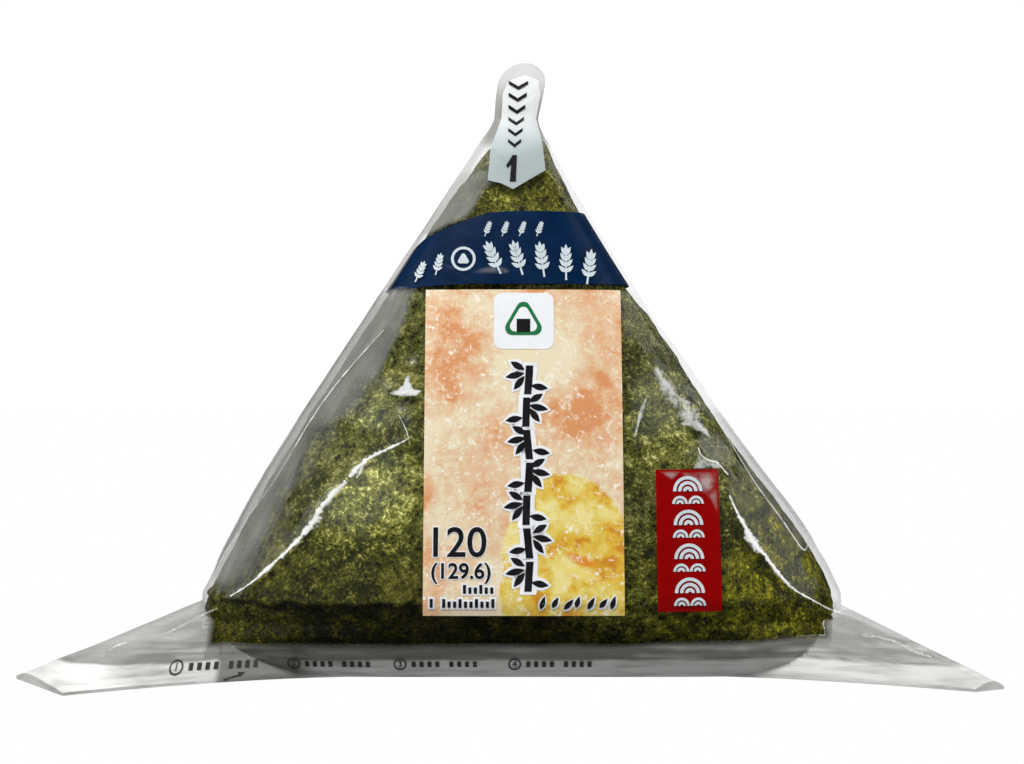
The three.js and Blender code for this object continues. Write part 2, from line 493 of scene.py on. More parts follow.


# %% [markdown]
# Nori is pressed seaweed: a paper of dark green fibres with lighter flecks and near-black spots.
# The recipe drifts between dark and olive, lays flecks on top, and takes its bump from the same
# flecks, so that what looks like a fibre also catches the light like one. Vertex values say where
# painted shade darkens the sheet, where it is more yellow, and where painted light and painted
# shade make it brighter or darker.

# %% Nori finish
NORI_GROUND = (
    (0.34, (0.036, 0.040, 0.004)),
    (0.5, (0.074, 0.080, 0.008)),
    (0.66, (0.120, 0.121, 0.024)),
)
NORI_LIGHT = (0.38, 0.37, 0.11)
NORI_SPARK = (0.78, 0.78, 0.5)
NORI_DARK = (0.008, 0.012, 0.001)
# foot_shade is painted shade: a darker multiply on the foot of the rice ball, which turns down away from
# the lamps.
NORI_TINTS = {"foot_shade": (0.17, 0.17, 0.015), "yellow": (1.05, 1.0, 0.1)}
NORI_BUMP = 0.0007


def make_nori_material():
    material, tree, shader, place = new_material("nori", Roughness=0.5, Specular_IOR_Level=0.14)
    flecks = use_group(tree, FLECKS, Vector=place, Fleck_Scale=2300.0, Drift_Scale=130.0)
    fibres = cloudy(tree, place, 3400.0, 2.0, 0.6)
    light = remap(tree, flecks["Flecks"], 0.56, 0.68)
    spark = remap(tree, flecks["Flecks"], 0.67, 0.74)
    dark = remap(tree, flecks["Flecks"], 0.53, 0.45)
    color = blend(tree, light, ramp(tree, flecks["Drift"], *NORI_GROUND), NORI_LIGHT)
    color = blend(tree, dark, blend(tree, spark, color, NORI_SPARK), NORI_DARK)
    for name, tint in NORI_TINTS.items():
        share = node(tree, "Attribute", attribute_name=name).outputs["Fac"]
        color = blend(tree, share, color, blend(tree, 1.0, color, tint, "MULTIPLY"))
    # bright carries painted light and painted shade.
    bright = node(tree, "Attribute", attribute_name="bright").outputs["Color"]
    color = blend(tree, 1.0, color, bright, "MULTIPLY")
    height = calculate(tree, "MULTIPLY_ADD", fibres, 0.4, flecks["Flecks"])
    bump = node(tree, "Bump", {"Height": height, "Distance": NORI_BUMP})
    feed(tree, shader, Base_Color=color, Normal=bump.outputs["Normal"])
    return material


NORI = make_nori_material()

# %% [markdown]
# The rice ball fills the pack but for a little air at its sloping sides and at its foot. Rice
# grains press through the sheet as low bumps. Low down, the outer sheet ends in a ragged line,
# below which the foot slopes in, and the two lower corners are torn.

# %% Rice ball in its nori
NORI_FOOT = 2.6
NORI_HEAD = 80.8
NORI_TILT = 1.4
NORI_POWER = ((NORI_FOOT, 5, 8), (6, 4.6, 3.1))
SHEET_END = 11.3
SIDE_GAPS = ((0, 3.3, 6, 9.4, 14, 24, 70, 81), (0.3, -0.4, 0.2, 0.7, 1.2, 1.5, 1.3, 1.2))
FACE_GAPS = ((0, NORI_FOOT, 6, SHEET_END, 20, 81), (4.0, 2.4, 1.6, 0.8, 0.6, 0.6))
GRAIN_RELIEF = 0.25
FINE_RELIEF = 0.12
SHEET_STEP = 0.35
TEAR_DEPTH = 0.8
# Painted pools of light on the nori's front: middle, reach across, reach up and strength.
BRIGHT_SPOTS = ((-20.5, 28, 13, 12.5, 2.8), (24, 37, 10, 12, 1.0), (-18, 40, 8, 9, 1.0))


def spot(x, z, middle_x, middle_z, reach_x, reach_z):
    """A soft round patch in the front view: 1 in its middle, 0 outside it."""
    return soft_step(1 - np.hypot((x - middle_x) / reach_x, (z - middle_z) / reach_z), 0, 1)


def nori_place(turn, share):
    """The rice ball's skin: nearer the film on the right half way up, and free of it at the back."""
    z = np.interp(share, [0, 0.2, 1], [NORI_FOOT, SHEET_END + 1.5, NORI_HEAD])
    right = turn > 0
    low = soft_step(15 - z, 0, 4)
    side_gap = np.interp(z, *SIDE_GAPS)
    side_gap -= 0.7 * right * soft_step(z, 38, 48) * soft_step(58 - z, 0, 5)
    side_gap += 0.7 * right * low + 1.8 * soft_step(np.abs(turn), 1.58, 1.95) * low
    points = section(turn, z, np.interp(z, *NORI_POWER), side_gap, np.interp(z, *FACE_GAPS))
    points[:, 2] += NORI_TILT * soft_step(z, 70, NORI_HEAD) * np.sin(turn)
    return points


def nori_relief(points, sheet_line):
    """Grains under the sheet, the step where the outer sheet ends, and the torn corners."""
    x, y, z = points.T
    grains = wander(points, 0.3, 2.2) * GRAIN_RELIEF + wander(points, 0.8, 9.1) * FINE_RELIEF
    below = 1 - soft_step(z, sheet_line - 0.25, sheet_line + 0.1)
    step = SHEET_STEP * below * (1 - soft_step(x, 6, 16))
    corner = soft_step(np.abs(x - middle(z)), 43, 46.5) * soft_step(13 - z, 0, 3)
    corner *= soft_step(BODY_Y + 6 - y, 0, 4)
    torn = wander(points, (0.4, 0.4, 0.8), 6.4) * TEAR_DEPTH + np.where(x < 0, 0.5, -0.2)
    return grains - step + corner * torn


def nori_tones(points, sheet_line):
    """The vertex values that the finish reads."""
    x, y, z = points.T
    front = soft_step(BODY_Y - y, 0, 4)
    right = soft_step(x, 6, 16)
    # Painted shade on the foot below the sheet's end, and low on the right.
    foot = soft_step(sheet_line - z, -0.2, 0.4) * (1 - 0.4 * soft_step(-x, 28, 42))
    right_foot = 0.75 * soft_step(10.5 - z, 0, 6) * (1 - 0.6 * soft_step(x, 28, 44))
    left_corner = soft_step(-x, 12, 38) * soft_step(13 - z, 0, 5)
    right_corner = soft_step(x * 0.8 - z, 0, 14)
    ends = 0.6 * np.maximum(soft_step(26 - z, 0, 14), soft_step(z, 66, 71))
    # Painted light and shade: brighter in the pools, painted shade left of the long crease and low on the
    # front above the sheet's end.
    crease_shade = left_of_crease(x, z) * front
    spots = sum(spot(x, z, *place) * strength for *place, strength in BRIGHT_SPOTS)
    bright = 0.95 + spots * front * (1 - 0.7 * crease_shade) - 0.3 * crease_shade
    bright -= 0.4 * soft_step(21 - z, 0, 8) * soft_step(z, SHEET_END - 1, SHEET_END) * (1 - 0.8 * right)
    return {
        "foot_shade": foot * (1 - right) + right_foot * right,
        "yellow": np.maximum.reduce([left_corner, right_corner, ends]),
        "bright": bright,
    }


def make_nori_body():
    bm = closed_grid(320, 230, nori_place)
    points = coordinates(bm)
    sheet_line = SHEET_END + wander(points, (0.5, 0.5, 0), 4.1) * 0.9
    push_out(bm, nori_relief(points, sheet_line))
    return finished("nori_body", bm, NORI, **nori_tones(points, sheet_line))


nori_body = make_nori_body()
print("nori body", len(nori_body.data.polygons), "faces")

# %% [markdown]
# Film is the hard part. It is nearly all gloss: clear where it lies single on the nori, and milky
# where several layers or loose folds meet. One shader does both. Where it is clear, it is a white
# mirror that covers a few per cent; where it is milky, it is a grey haze that covers most. One
# vertex value says how milky each place is, and one where it is shaded. Another holds distances
# across and along the folds, and noise stretched over them draws the streaks that run with them.

# %% Film finish
CLEAR_COVER = 0.02
MILKY_COVER = 0.95
MIRROR_END = 0.16
HAZE_COLOR = (0.285, 0.29, 0.265)
# Painted light: the milkiest film turns to this paler grey, in place of light the floor would bounce up to
# the hem.
PALE_PAINTED_LIGHT = (0.62, 0.625, 0.60)
SHADE_COLOR = (0.03, 0.032, 0.015)


def make_film_material():
    material, tree, shader, place = new_material("film", IOR=1.45)
    haze = node(tree, "Attribute", attribute_name="haze").outputs["Fac"]
    grain = node(tree, "Attribute", attribute_name="grain").outputs["Vector"]
    shade = node(tree, "Attribute", attribute_name="shade").outputs["Fac"]
    streaks = remap(tree, cloudy(tree, grain, 0.8, 3.0, 0.6, 0.3), 0.3, 0.7, 0.8, 1.18)
    drift = remap(tree, cloudy(tree, place, 110.0, 2.0, 0.5), 0.3, 0.7, 0.85, 1.1)
    milky = calculate(tree, "MULTIPLY", calculate(tree, "MULTIPLY", haze, streaks), drift)
    cover = calculate(tree, "MULTIPLY_ADD", milky, MILKY_COVER - CLEAR_COVER, CLEAR_COVER)
    haze_color = blend(tree, remap(tree, milky, 0.8, 1.25), HAZE_COLOR, PALE_PAINTED_LIGHT)
    haze_color = blend(tree, shade, haze_color, SHADE_COLOR)
    color = blend(tree, remap(tree, milky, 0.0, MIRROR_END), (1, 1, 1), haze_color)
    metal = remap(tree, milky, 0.0, MIRROR_END, 1.0, 0.0)
    rough = remap(tree, milky, 0.0, MIRROR_END, 0.15, 0.45)
    normal = use_group(tree, CRINKLE, Vector=place, Scale=150.0, Height=0.00016)["Normal"]
    feed(tree, shader, Alpha=cover, Metallic=metal, Roughness=rough, Base_Color=color, Normal=normal)
    return material


FILM = make_film_material()

# %% [markdown]
# Where the film is milky is drawn from a few lines in the front view: the milky left flank ends
# at one line, the flaps of both flanks at two others. The hem, the ears, the neck and the back
# have their own strengths. The shapes of the two ears are written down first, because the film is
# clearer along their outer ends.

# %% Where the film is milky
LEFT_VEIL = spline([
    (-37.6, 13.7), (-34.5, 20.8), (-30.6, 29.9), (-29.2, 33.7), (-26.5, 36.7), (-20.9, 40.1),
    (-16.6, 48), (-12.5, 56.9), (-9.6, 60.2), (-7.6, 65.1), (-3.3, 71.3), (-1.2, 74.1),
])
LEFT_FLAP = spline([
    (-44, 15), (-38.5, 22.8), (-33.9, 29.2), (-28.9, 37.7), (-24.4, 44), (-17.7, 51.5),
    (-14.8, 60), (-9.4, 67.1), (-6, 72),
])
RIGHT_FLAP = spline([
    (49, 17.6), (44.8, 18.8), (42, 22.9), (37.9, 28.6), (33.6, 35.9), (28.3, 43.2), (22.5, 52),
    (14.5, 65), (7, 78),
])
LEFT_EAR_LINES = (
    [(-72.5, -1.3), (-67, 0.3), (-60.8, 2.5), (-54.6, 4.6), (-50.7, 6.5), (-46.1, 8)],
    [(-72.2, -2.7), (-66.6, -2), (-60.2, 0.3), (-56, 1.5), (-52.1, 1.7), (-49.5, 0.4), (-47, -3)],
)
RIGHT_EAR_LINES = (
    [(50.9, 8.2), (55.9, 6.5), (60.6, 4), (66.3, 1.8), (77.2, -3.1)],
    [(49.3, -0.6), (55.1, 0.1), (58.9, 0), (63.4, -1.4), (69.4, -1.6), (78, -3.8)],
)
LEFT_EAR = dict(
    side=-1, root=(20, -13, 12, 20.4), tip=(61.1, -30.7, 71.5, -15, 1.4), flare=1.7, ridge=0.72,
)
RIGHT_EAR = dict(
    side=1, root=(30, -12.6, 12, 20.2), tip=(66.8, -27.4, 71.5, -24.6, 1.3), flare=1.5, ridge=0.6,
)
CLING = 0.05
# Haze above about 1 adds no cover; it only moves the film towards the paler painted light colour.
MILKIEST = 1.25
EAR_ROOT_LEFT = 46.5
EAR_ROOT_RIGHT = 45.0
HEM_TOP = [(-45.8, 4.9), (-38, 5.2), (-14.8, 5.3), (14.3, 5.4), (38, 5.9), (49.4, 6.0)]
FOOT_FILM = 3.1
# Painted sheens: milky patches that stand in for soft reflections, each a middle, two reaches and a
# strength.
SHEENS = (
    (-22, 29, 11, 10, 0.2), (-18, 39, 7, 8, 0.14), (24, 41, 7, 9, 0.15), (21, 38, 5, 6, 0.07),
    (30, 33, 6, 4, 0.07),
)
LEFT_EAR_HAZE = 0.75
RIGHT_EAR_HAZE = 0.61
VEIL_HAZE = 0.42
LEFT_EDGE_HAZE = 0.12
RIGHT_EDGE_HAZE = 0.09
RIM_HAZE = 0.28
HEM_HAZE = 0.66
FOOT_HAZE = 0.62
NECK_HAZE = 0.66
BACK_HAZE = 0.16
SHADE = 0.74


def tip_gap(points):
    """How far points are from the straight outer ends of the two ears, seen from above."""
    gaps = []
    for ear in (LEFT_EAR, RIGHT_EAR):
        front_x, front, back_x, back, _ = ear["tip"]
        side = ear["side"]
        end_line = np.array([(side * front_x, BODY_Y + front), (side * back_x, BODY_Y + back)])
        gaps.append(nearest(end_line, points[:, 0], points[:, 1])[0])
    return np.minimum(*gaps)


def ear_haze(points):
    """The ears are double film, with a paler band along the top and a paler facet at the foot."""
    x, z = in_picture(points)
    left = x < 0
    wave = wander(points, (0.12, 0.1, 0.3), 8.2) * 0.8
    above = z - np.where(left, line_z(LEFT_EAR_LINES[0], x), line_z(RIGHT_EAR_LINES[0], x)) + wave * 0.4
    below = np.where(left, line_z(LEFT_EAR_LINES[1], x), line_z(RIGHT_EAR_LINES[1], x)) - z + wave
    base = np.where(left, LEFT_EAR_HAZE, RIGHT_EAR_HAZE) + 0.08 * soft_step(60 - np.abs(x), 0, 12)
    base -= 0.3 * soft_step(1.6 - tip_gap(points), 0, 1.4)
    return base - 0.18 * soft_step(above, -0.2, 0.3) - 0.16 * soft_step(below, -0.2, 0.5)


def shaded_film(points):
    """Where the left ear's film is dark, because the foot of the rice ball shades it."""
    x, y, z = points.T
    across = soft_step(x, -42, -41) * soft_step(-x, 26, 31)
    return across * soft_step(5.3 - z, 0, 0.7) * soft_step(BODY_Y - y, 8, 12)


def band_top(x):
    """The upper edge of the blue band in the front view; it sinks towards the left."""
    return np.interp(x, [-17, -12, -6, 0], [58, 66, 68.6, 69.7])


def on_front(y):
    return soft_step(BODY_Y - y, -2, 1)


def over_band(points):
    """1 where the film carries the blue band and clings to its own ink."""
    x, y, z = points.T
    inside_rim = soft_step(half_width(z) - np.abs(x - middle(z)), 0.3, 0.9)
    return on_front(y) * soft_step(z, 57.2, 58) * soft_step(band_top(x) - z, -0.3, 0.3) * inside_rim


def flank_haze(points, ripple):
    """The veil at the left, the free edges of the flaps, and painted sheens standing in for reflections."""
    x, y, z = points.T
    mottle = 1 + wander(points, (0.3, 0.2, 0.22), 2.9) * 0.7
    inside = line_x(LEFT_VEIL, z) - x + ripple * 1.2
    veil = soft_step(inside, -0.2, 0.8) * (VEIL_HAZE + 0.14 * soft_step(inside, 0, 4))
    veil *= (0.5 + 0.5 * mottle) * (1 - 0.8 * soft_step(z, 75, 76.5))
    left_edge = LEFT_EDGE_HAZE * soft_step(line_x(LEFT_FLAP, z) - x, -0.2, 0.4) * soft_step(58 - z, 0, 2)
    right_edge = RIGHT_EDGE_HAZE - 0.04 * soft_step(z, 30, 44)
    right_edge *= soft_step(x - line_x(RIGHT_FLAP, z), -0.2, 0.4) * (0.6 + 0.4 * mottle)
    right_edge *= 1 - soft_step(z, 44, 52)
    sheen = np.maximum.reduce([spot(x, z, *place) * strength for *place, strength in SHEENS])
    sheen *= print_mask(x, z) * mottle * (1 - 0.8 * left_of_crease(x, z))
    body = on_front(y) * soft_step(z, 12, 15) * soft_step(80 - z, 0, 4)
    return body * np.maximum.reduce([veil + left_edge, right_edge, sheen])


def hem_haze(points, ripple):
    """The hem below the rice ball, and the foot of it, where the film turns under."""
    x, _, z = points.T
    wave = ripple * 0.25
    # Where hem and foot overlap the haze passes 1, which paints the pale light colour onto the hem.
    hem = soft_step(line_z(HEM_TOP, x) - z + wave, -0.3, 0.7) * (HEM_HAZE + 0.2 * soft_step(x, 10, 35))
    foot = soft_step(FOOT_FILM - z + wave, -0.1, 0.4) * (FOOT_HAZE - 0.25 * soft_step(x, 20, 35))
    return hem + foot


def outer_haze(points):
    """The rims of the flanks, the ears beyond them, the neck and the back."""
    x, y, z = points.T
    offset = np.abs(x - middle(z))
    rim = RIM_HAZE - 0.16 * soft_step(z, 30, 44) * (x > 0)
    rim *= soft_step(offset - half_width(z), -2.4, -0.8) * soft_step(z, 6, 10)
    root = np.where(x < 0, EAR_ROOT_LEFT, EAR_ROOT_RIGHT)
    root = root + (np.maximum(half_width(z), root) - root) * soft_step(z, 8, 9.5)
    ears = soft_step(offset - root, -0.5, 0.5) * ear_haze(points)
    neck = soft_step(z, 79, 82) * (NECK_HAZE - 0.36 * soft_step(z, 86, 91))
    back = BACK_HAZE * soft_step(y - BODY_Y, 0, 4)
    return np.maximum.reduce([rim, ears, neck, back])


def film_haze(points):
    """How milky the film is at each point; a little under 0 where it clings and all but vanishes."""
    x, _, z = points.T
    ripple = wander(points, (0.15, 0.1, 0.2), 6.6)
    printed = over_band(points)
    parts = [flank_haze(points, ripple), hem_haze(points, ripple), outer_haze(points), shaded_film(points)]
    haze = np.maximum.reduce(parts) * (1 - printed)
    foot = soft_step(12.5 - z, 0, 3) * (0.6 + 0.4 * soft_step(np.abs(x), 28, 36))
    return np.where(haze < 0.01, -CLING * np.maximum(foot, printed), np.minimum(haze, MILKIEST))


def film_grain(points):
    """Distances across and along the folds: down the flanks, and along the hem and ears."""
    x, y, z = points.T
    edge = half_width(z) - np.abs(x - middle(z))
    low = np.maximum(soft_step(9 - z, 0, 3), soft_step(-edge, -2, 0))
    across = edge * (1 - low) + z * 1.2 * low
    along = z * (1 - low) + np.abs(x) * low
    return np.column_stack([across, along * 0.1, y * 0.1])


# %% [markdown]
# Each ear is the flattened end of the film tube. A grid is bent so that its top sinks from the
# pack's corner to a flat tip, and extruding it down to the ground closes it. Loose film buckles,
# so a few fold lines and some noise are raised on it.

# %% Film ears
EAR_LIP = 0.45
EAR_FOLD_LIFT = 0.5
EAR_FOLD_REACH = 1.6
EAR_FOLDS = {
    -1: ([(41, 12), (52, 7.2), (62, 4.2)], [(46, 5), (56, 5.2), (66, 2.6)], [(43, 8), (50, 3.4), (60, 1)],
         [(47, 1), (50, 3.6), (56, 2.2), (62, 0.6)]),
    1: ([(50, 9), (58, 5.6), (68, 2)], [(47, 5.5), (53, 3.8), (60, 2.4)],
        [(46, 9.4), (52, 6), (55, 4)]),
}


def make_ear(side, root, tip, flare, ridge):
    bm = bmesh.new()
    bmesh.ops.create_grid(bm, x_segments=120, y_segments=54, size=0.5)
    along, across = (coordinates(bm)[:, :2] + 0.5).T
    x = root[0] + (tip[0] + (tip[2] - tip[0]) * across - root[0]) * along
    root_y = root[1] + (root[2] - root[1]) * across
    tip_y = tip[1] + (tip[3] - tip[1]) * across
    y = BODY_Y + root_y + (tip_y - root_y) * along**flare
    slope = np.where(across < ridge, across / ridge, (1 - across) / (1 - ridge))
    crown = root[3] + (tip[4] - root[3]) * along - EAR_LIP
    z = EAR_LIP + crown * np.sin(slope * math.pi / 2)
    folds = np.zeros_like(x)
    for line in EAR_FOLDS[side]:
        tent = np.clip(1 - nearest(spline(line, 16), x, z)[0] / EAR_FOLD_REACH, 0, 1) ** 1.3
        folds = np.maximum(folds, EAR_FOLD_LIFT * tent)
    points = np.column_stack([side * x, y, z])
    loose = np.sin(np.pi * np.clip(slope, 0, 1)) * (1 - 0.6 * along)
    points[:, 2] += (folds + wander(points, (0.1, 0.2, 0.35), 4.4) * 0.5) * loose
    move_to(bm, points)
    foot = bmesh.ops.extrude_face_region(bm, geom=list(bm.faces))["geom"]
    for vert in (item for item in foot if isinstance(item, bmesh.types.BMVert)):
        vert.co.z = 0
    bmesh.ops.recalc_face_normals(bm, faces=bm.faces)
    return finished("ear", bm, FILM)


def ear_front_y(x, z, side, root, tip, flare, ridge):
    """Where the front slope of an ear lies in the front view, found by closing in on it."""
    along = np.clip((side * x - root[0]) / (tip[0] - root[0]), 0, 1)
    for _ in range(6):
        crown = root[3] + (tip[4] - root[3]) * along - EAR_LIP
        across = ridge * np.arcsin(np.clip((z - EAR_LIP) / crown, 0, 1)) * 2 / math.pi
        along = np.clip((side * x - root[0]) / (tip[0] + (tip[2] - tip[0]) * across - root[0]), 0, 1)
    root_y = root[1] + (root[2] - root[1]) * across
    tip_y = tip[1] + (tip[3] - tip[1]) * across
    return BODY_Y + root_y + (tip_y - root_y) * along**flare


def pack_front(x, z):
    """Points on whatever is foremost at places in the front view: the creased film or an ear."""
    body = np.column_stack([x, front_y(x, z), z])
    body[:, 1] -= film_relief(body)
    for ear in (LEFT_EAR, RIGHT_EAR):
        out = ear["side"] * x > ear["root"][0] + 8
        body[:, 1] = np.where(out, np.minimum(body[:, 1], ear_front_y(x, z, **ear)), body[:, 1])
    return body


# %% [markdown]
# The body of the film is rolled like the nori, creased, and joined to the two ears with one
# Boolean union each, so that the pack is a single closed sheet of film round a pocket of air.

# %% Film pack
def film_place(turn, share):
    z = np.interp(share, [0, 0.17, 0.88, 1], [0, HEEL, SHOULDER + 4, TOP])
    return section(turn - 0.22 * np.sin(turn), z, roundness(z), 0, 0)


def join_to(piece, other):
    join = piece.modifiers.new("join", "BOOLEAN")
    join.operation = "UNION"
    join.solver = "MANIFOLD"
    join.object = other
    bpy.context.view_layer.objects.active = piece
    bpy.ops.object.modifier_apply(modifier="join")
    bpy.data.objects.remove(other)


def make_film_pack():
    bm = closed_grid(360, 190, film_place)
    push_out(bm, film_relief(coordinates(bm)))
    for vert in bm.verts:
        vert.co.z = max(vert.co.z, 0)
    pack = finished("film", bm, FILM)
    for ear in (LEFT_EAR, RIGHT_EAR):
        join_to(pack, make_ear(**ear))
    mesh = pack.data
    flat = np.empty(len(mesh.vertices) * 3)
    mesh.vertices.foreach_get("co", flat)
    points = flat.reshape(-1, 3) / MM
    store_value(mesh, "haze", film_haze(points))
    store_value(mesh, "shade", SHADE * shaded_film(points))
    store_value(mesh, "grain", film_grain(points))
    return pack


film = make_film_pack()
print("film", len(film.data.vertices), "vertices")

# %% [markdown]
# The tube of film is closed by overlapping its sides, which leaves a free edge down each flank
# and a seam down the back. Each overlap is a narrow sheet that follows the pack a little further
# out, from its edge line round to the side.

# %% Side flaps and back seam
FLAP_PROUD = 0.28


def make_side_flap(name, line, side, low, high, haze):
    def place(across, along):
        z = low + (high - low) * along
        start = turn_at(line_x(line, z), z)
        turn = start + (side * 1.75 - start) * across
        proud = FLAP_PROUD * (1 - 0.8 * across)
        return section(turn, z, FILM_POWER, -proud, -proud)

    bm = sheet_grid(24, 150, place)
    points = coordinates(bm)
    fade = soft_step(points[:, 2], low, low + 3) * soft_step(high - points[:, 2], 0, 3)
    return finished(name, bm, FILM, haze=fade * haze, grain=film_grain(points))


flap_left = make_side_flap("flap_left", LEFT_FLAP, -1, 15, 58, 0.2)
flap_right = make_side_flap("flap_right", RIGHT_FLAP, 1, 18.6, 40, 0.08)


def make_back_seam():
    def place(across, along):
        z = 4 + 70 * along
        width = np.minimum(10, half_width(z))
        turn = math.pi + (across - 0.5) * width / half_width(z)
        proud = 0.5 + 0.35 * np.sin(across * math.pi)
        return section(turn, z, FILM_POWER, -proud, -proud)

    bm = sheet_grid(20, 150, place)
    points = coordinates(bm)
    return finished("back_seam", bm, FILM, haze=np.full(len(points), 0.3), grain=film_grain(points))


back_seam = make_back_seam()

# %% [markdown]
# Crisp creases gleam white and are thinner than the mesh of the film can show. Each gleam is a
# painted highlight: a white ribbon that follows a line over the film. It swells where the fold
# opens, and it is solid along its middle and fades out towards its sides.

# %% Crease gleams
def make_gleam_material():
    material, tree, shader, place = new_material("crease_gleam", Roughness=0.25, IOR=1.6)
    shader.inputs["Base Color"].default_value = (0.88, 0.89, 0.87, 1)
    solid = node(tree, "Attribute", attribute_name="solid").outputs["Fac"]
    ragged = calculate(tree, "MULTIPLY_ADD", cloudy(tree, place, 900.0, 4.0, 0.75), 2.0, -1.0)
    torn = calculate(tree, "ADD", solid, calculate(tree, "MULTIPLY", ragged, 0.8))
    cover = remap(tree, torn, 0.12, 0.95, 0.0, 0.95)
    crinkle = use_group(tree, CRINKLE, Vector=place, Scale=700.0, Height=0.0002)
    feed(tree, shader, Alpha=cover, Normal=crinkle["Normal"])
    return material


GLEAM = make_gleam_material()


def make_sheen_material():
    """A faint, blurred white patch, as where film reflects a lamp over a rough backing."""
    material, tree, shader, place = new_material("sheen", Roughness=0.5)
    shader.inputs["Base Color"].default_value = (0.8, 0.81, 0.79, 1)
    solid = node(tree, "Attribute", attribute_name="solid").outputs["Fac"]
    patches = remap(tree, cloudy(tree, place, 520.0, 3.0, 0.55, 0.5), 0.36, 0.62, 0.1, 1.2)
    feed(tree, shader, Alpha=calculate(tree, "MULTIPLY", solid, patches))
    return material


SHEEN = make_sheen_material()


def patch(name, outline, strength, softness, material, proud):
    """A flat patch over the film that fades out towards its outline."""
    bm = bmesh.new()
    bm.faces.new([bm.verts.new((x, 0, z)) for x, z in outline])
    bmesh.ops.triangulate(bm, faces=bm.faces)
    slice_up(bm, PATCH_CELL)
    x, _, z = coordinates(bm).T
    move_to(bm, pack_front(x, z) - (0, proud, 0))
    thicken(bm, 0.02)
    x, _, z = coordinates(bm).T
    gap, _ = nearest(np.array([*outline, outline[0]], float), x, z)
    return finished(name, bm, material, solid=np.clip(gap / softness, 0, 1) * strength)


def gleam(name, points, widths, strength=1.0, proud=0.12, material=None):
    """A ribbon along a line in the front view; widths are spread evenly from end to end."""
    line = spline(points, 8)
    steps = np.linspace(0, 1, len(line))
    stations = np.linspace(0, 1, len(widths))
    direction = np.gradient(line, axis=0)
    direction /= np.hypot(*direction.T)[:, None]

    def place(across, along):
        shift = (across - 0.5) * 1.5 * np.interp(along, stations, widths)
        x = np.interp(along, steps, line[:, 0]) + shift * np.interp(along, steps, direction[:, 1])
        z = np.interp(along, steps, line[:, 1]) - shift * np.interp(along, steps, direction[:, 0])
        return pack_front(x, z) - (0, proud, 0)

    bm = sheet_grid(12, 9 * len(line), place, 0.02)
    spots = coordinates(bm)
    gap, share = nearest(line, spots[:, 0], spots[:, 2])
    flat = spots * (1, 0, 1)
    frayed = np.clip(0.95 + 0.7 * wander(flat, 0.9, 3.3) + 0.7 * wander(flat, 2.6, 5.1), 0.1, 1.6)
    half = np.interp(share, stations, widths) * frayed / 2
    solid = np.clip(1.3 * (1 - gap / half), 0, 1) * strength
    return finished(name, bm, material or GLEAM, solid=solid)


GLEAMS = {
    "left_low": ([(-40.2, 12), (-37.7, 13.6), (-35.2, 15.6), (-30.1, 20.3), (-27.6, 23.4), (-26, 26),
                  (-22.9, 29.1)], (0.2, 0.35, 0.45, 0.6, 0.65, 0.75, 1.2, 1.7, 1.0, 1.3, 0.8)),
    "left_middle": ([(-22.4, 29.7), (-20.5, 31.8), (-18.2, 33.2), (-14.6, 34.9), (-13.8, 35.8),
                     (-15.2, 38.8)], (0.5, 1.2, 0.8, 0.6, 0.3, 0.2, 0.15, 0.1)),
    "left_spur": ([(-20.6, 31.6), (-20.8, 30.4), (-21.4, 29.6)], (0.9, 0.8, 0.2)),
    "right_fan": ([(29.1, 34), (29.5, 32.9), (30.6, 32.1), (32, 31.7), (33.6, 29.9)],
                  (0.15, 0.3, 0.35, 0.35, 0.2)),
    "right_top": ([(33.6, 27), (34.6, 24.7), (36.1, 22)], (0.2, 0.5, 0.35, 0.8, 0.5)),
    "right_bright": ([(35.9, 22.2), (37.1, 19.9), (39.2, 17.8)], (0.5, 1.4, 2.0, 0.8, 0.5)),
    "right_low": ([(38.8, 18), (41.1, 15.1), (43, 13.2), (45.4, 11.8), (49, 9.8), (52, 8.9), (54.5, 8)],
                  (0.6, 0.7, 0.5, 0.35, 0.3, 0.3, 0.35, 0.3, 0.15)),
    "right_flap": ([(33.6, 35.9), (37.9, 28.6), (42, 22.9), (44.8, 18.8), (46, 19.5)],
                   (0.05, 0.2, 0.26, 0.28, 0.25)),
    "left_flap": ([(-17.7, 51.5), (-24.4, 44), (-28.9, 37.7), (-33.9, 29.2), (-38.5, 22.8), (-43, 16)],
                  (0.1, 0.2, 0.25, 0.2, 0.22, 0.1)),
}
gleams = [gleam("gleam_" + name, points, widths) for name, (points, widths) in GLEAMS.items()]
# Softer painted highlights, in the sheen material.
SOFT_GLEAMS = {
    "right_upper": ([(22.9, 45.9), (24.8, 42.4), (26, 40.7), (28.4, 38.3), (29.4, 36.5)],
                    (0.3, 3, 1.6, 3.2, 0.5)),
    "right_wing": ([(25.6, 42), (27, 41), (28.2, 40.6)], (0.3, 1.2, 0.3)),
    "right_streak": ([(26.6, 37.5), (29, 37.3), (31, 35.6)], (0.4, 1.4, 0.3)),
    "ear_left": ([(-57.8, 4.6), (-55.8, 5.2), (-50.2, 6.3), (-47.7, 7.4), (-45, 8.7), (-42.4, 10)],
                 (0.2, 0.5, 0.4, 0.5, 0.2)),
    "ear_right": ([(50.4, 8), (51.1, 7), (53.6, 6.5), (56.6, 6.1), (59.2, 4.9), (62, 4)],
                  (0.3, 0.5, 0.7, 0.5, 0.8, 0.3)),
    "right_side": ([(21.4, 41.3), (20.5, 39), (19.6, 35.6)], (0.2, 0.8, 0.15)),
}
gleams += [gleam("glow_" + name, points, widths, 0.5, 0.3, SHEEN)
           for name, (points, widths) in SOFT_GLEAMS.items()]

PATCH_CELL = 0.35
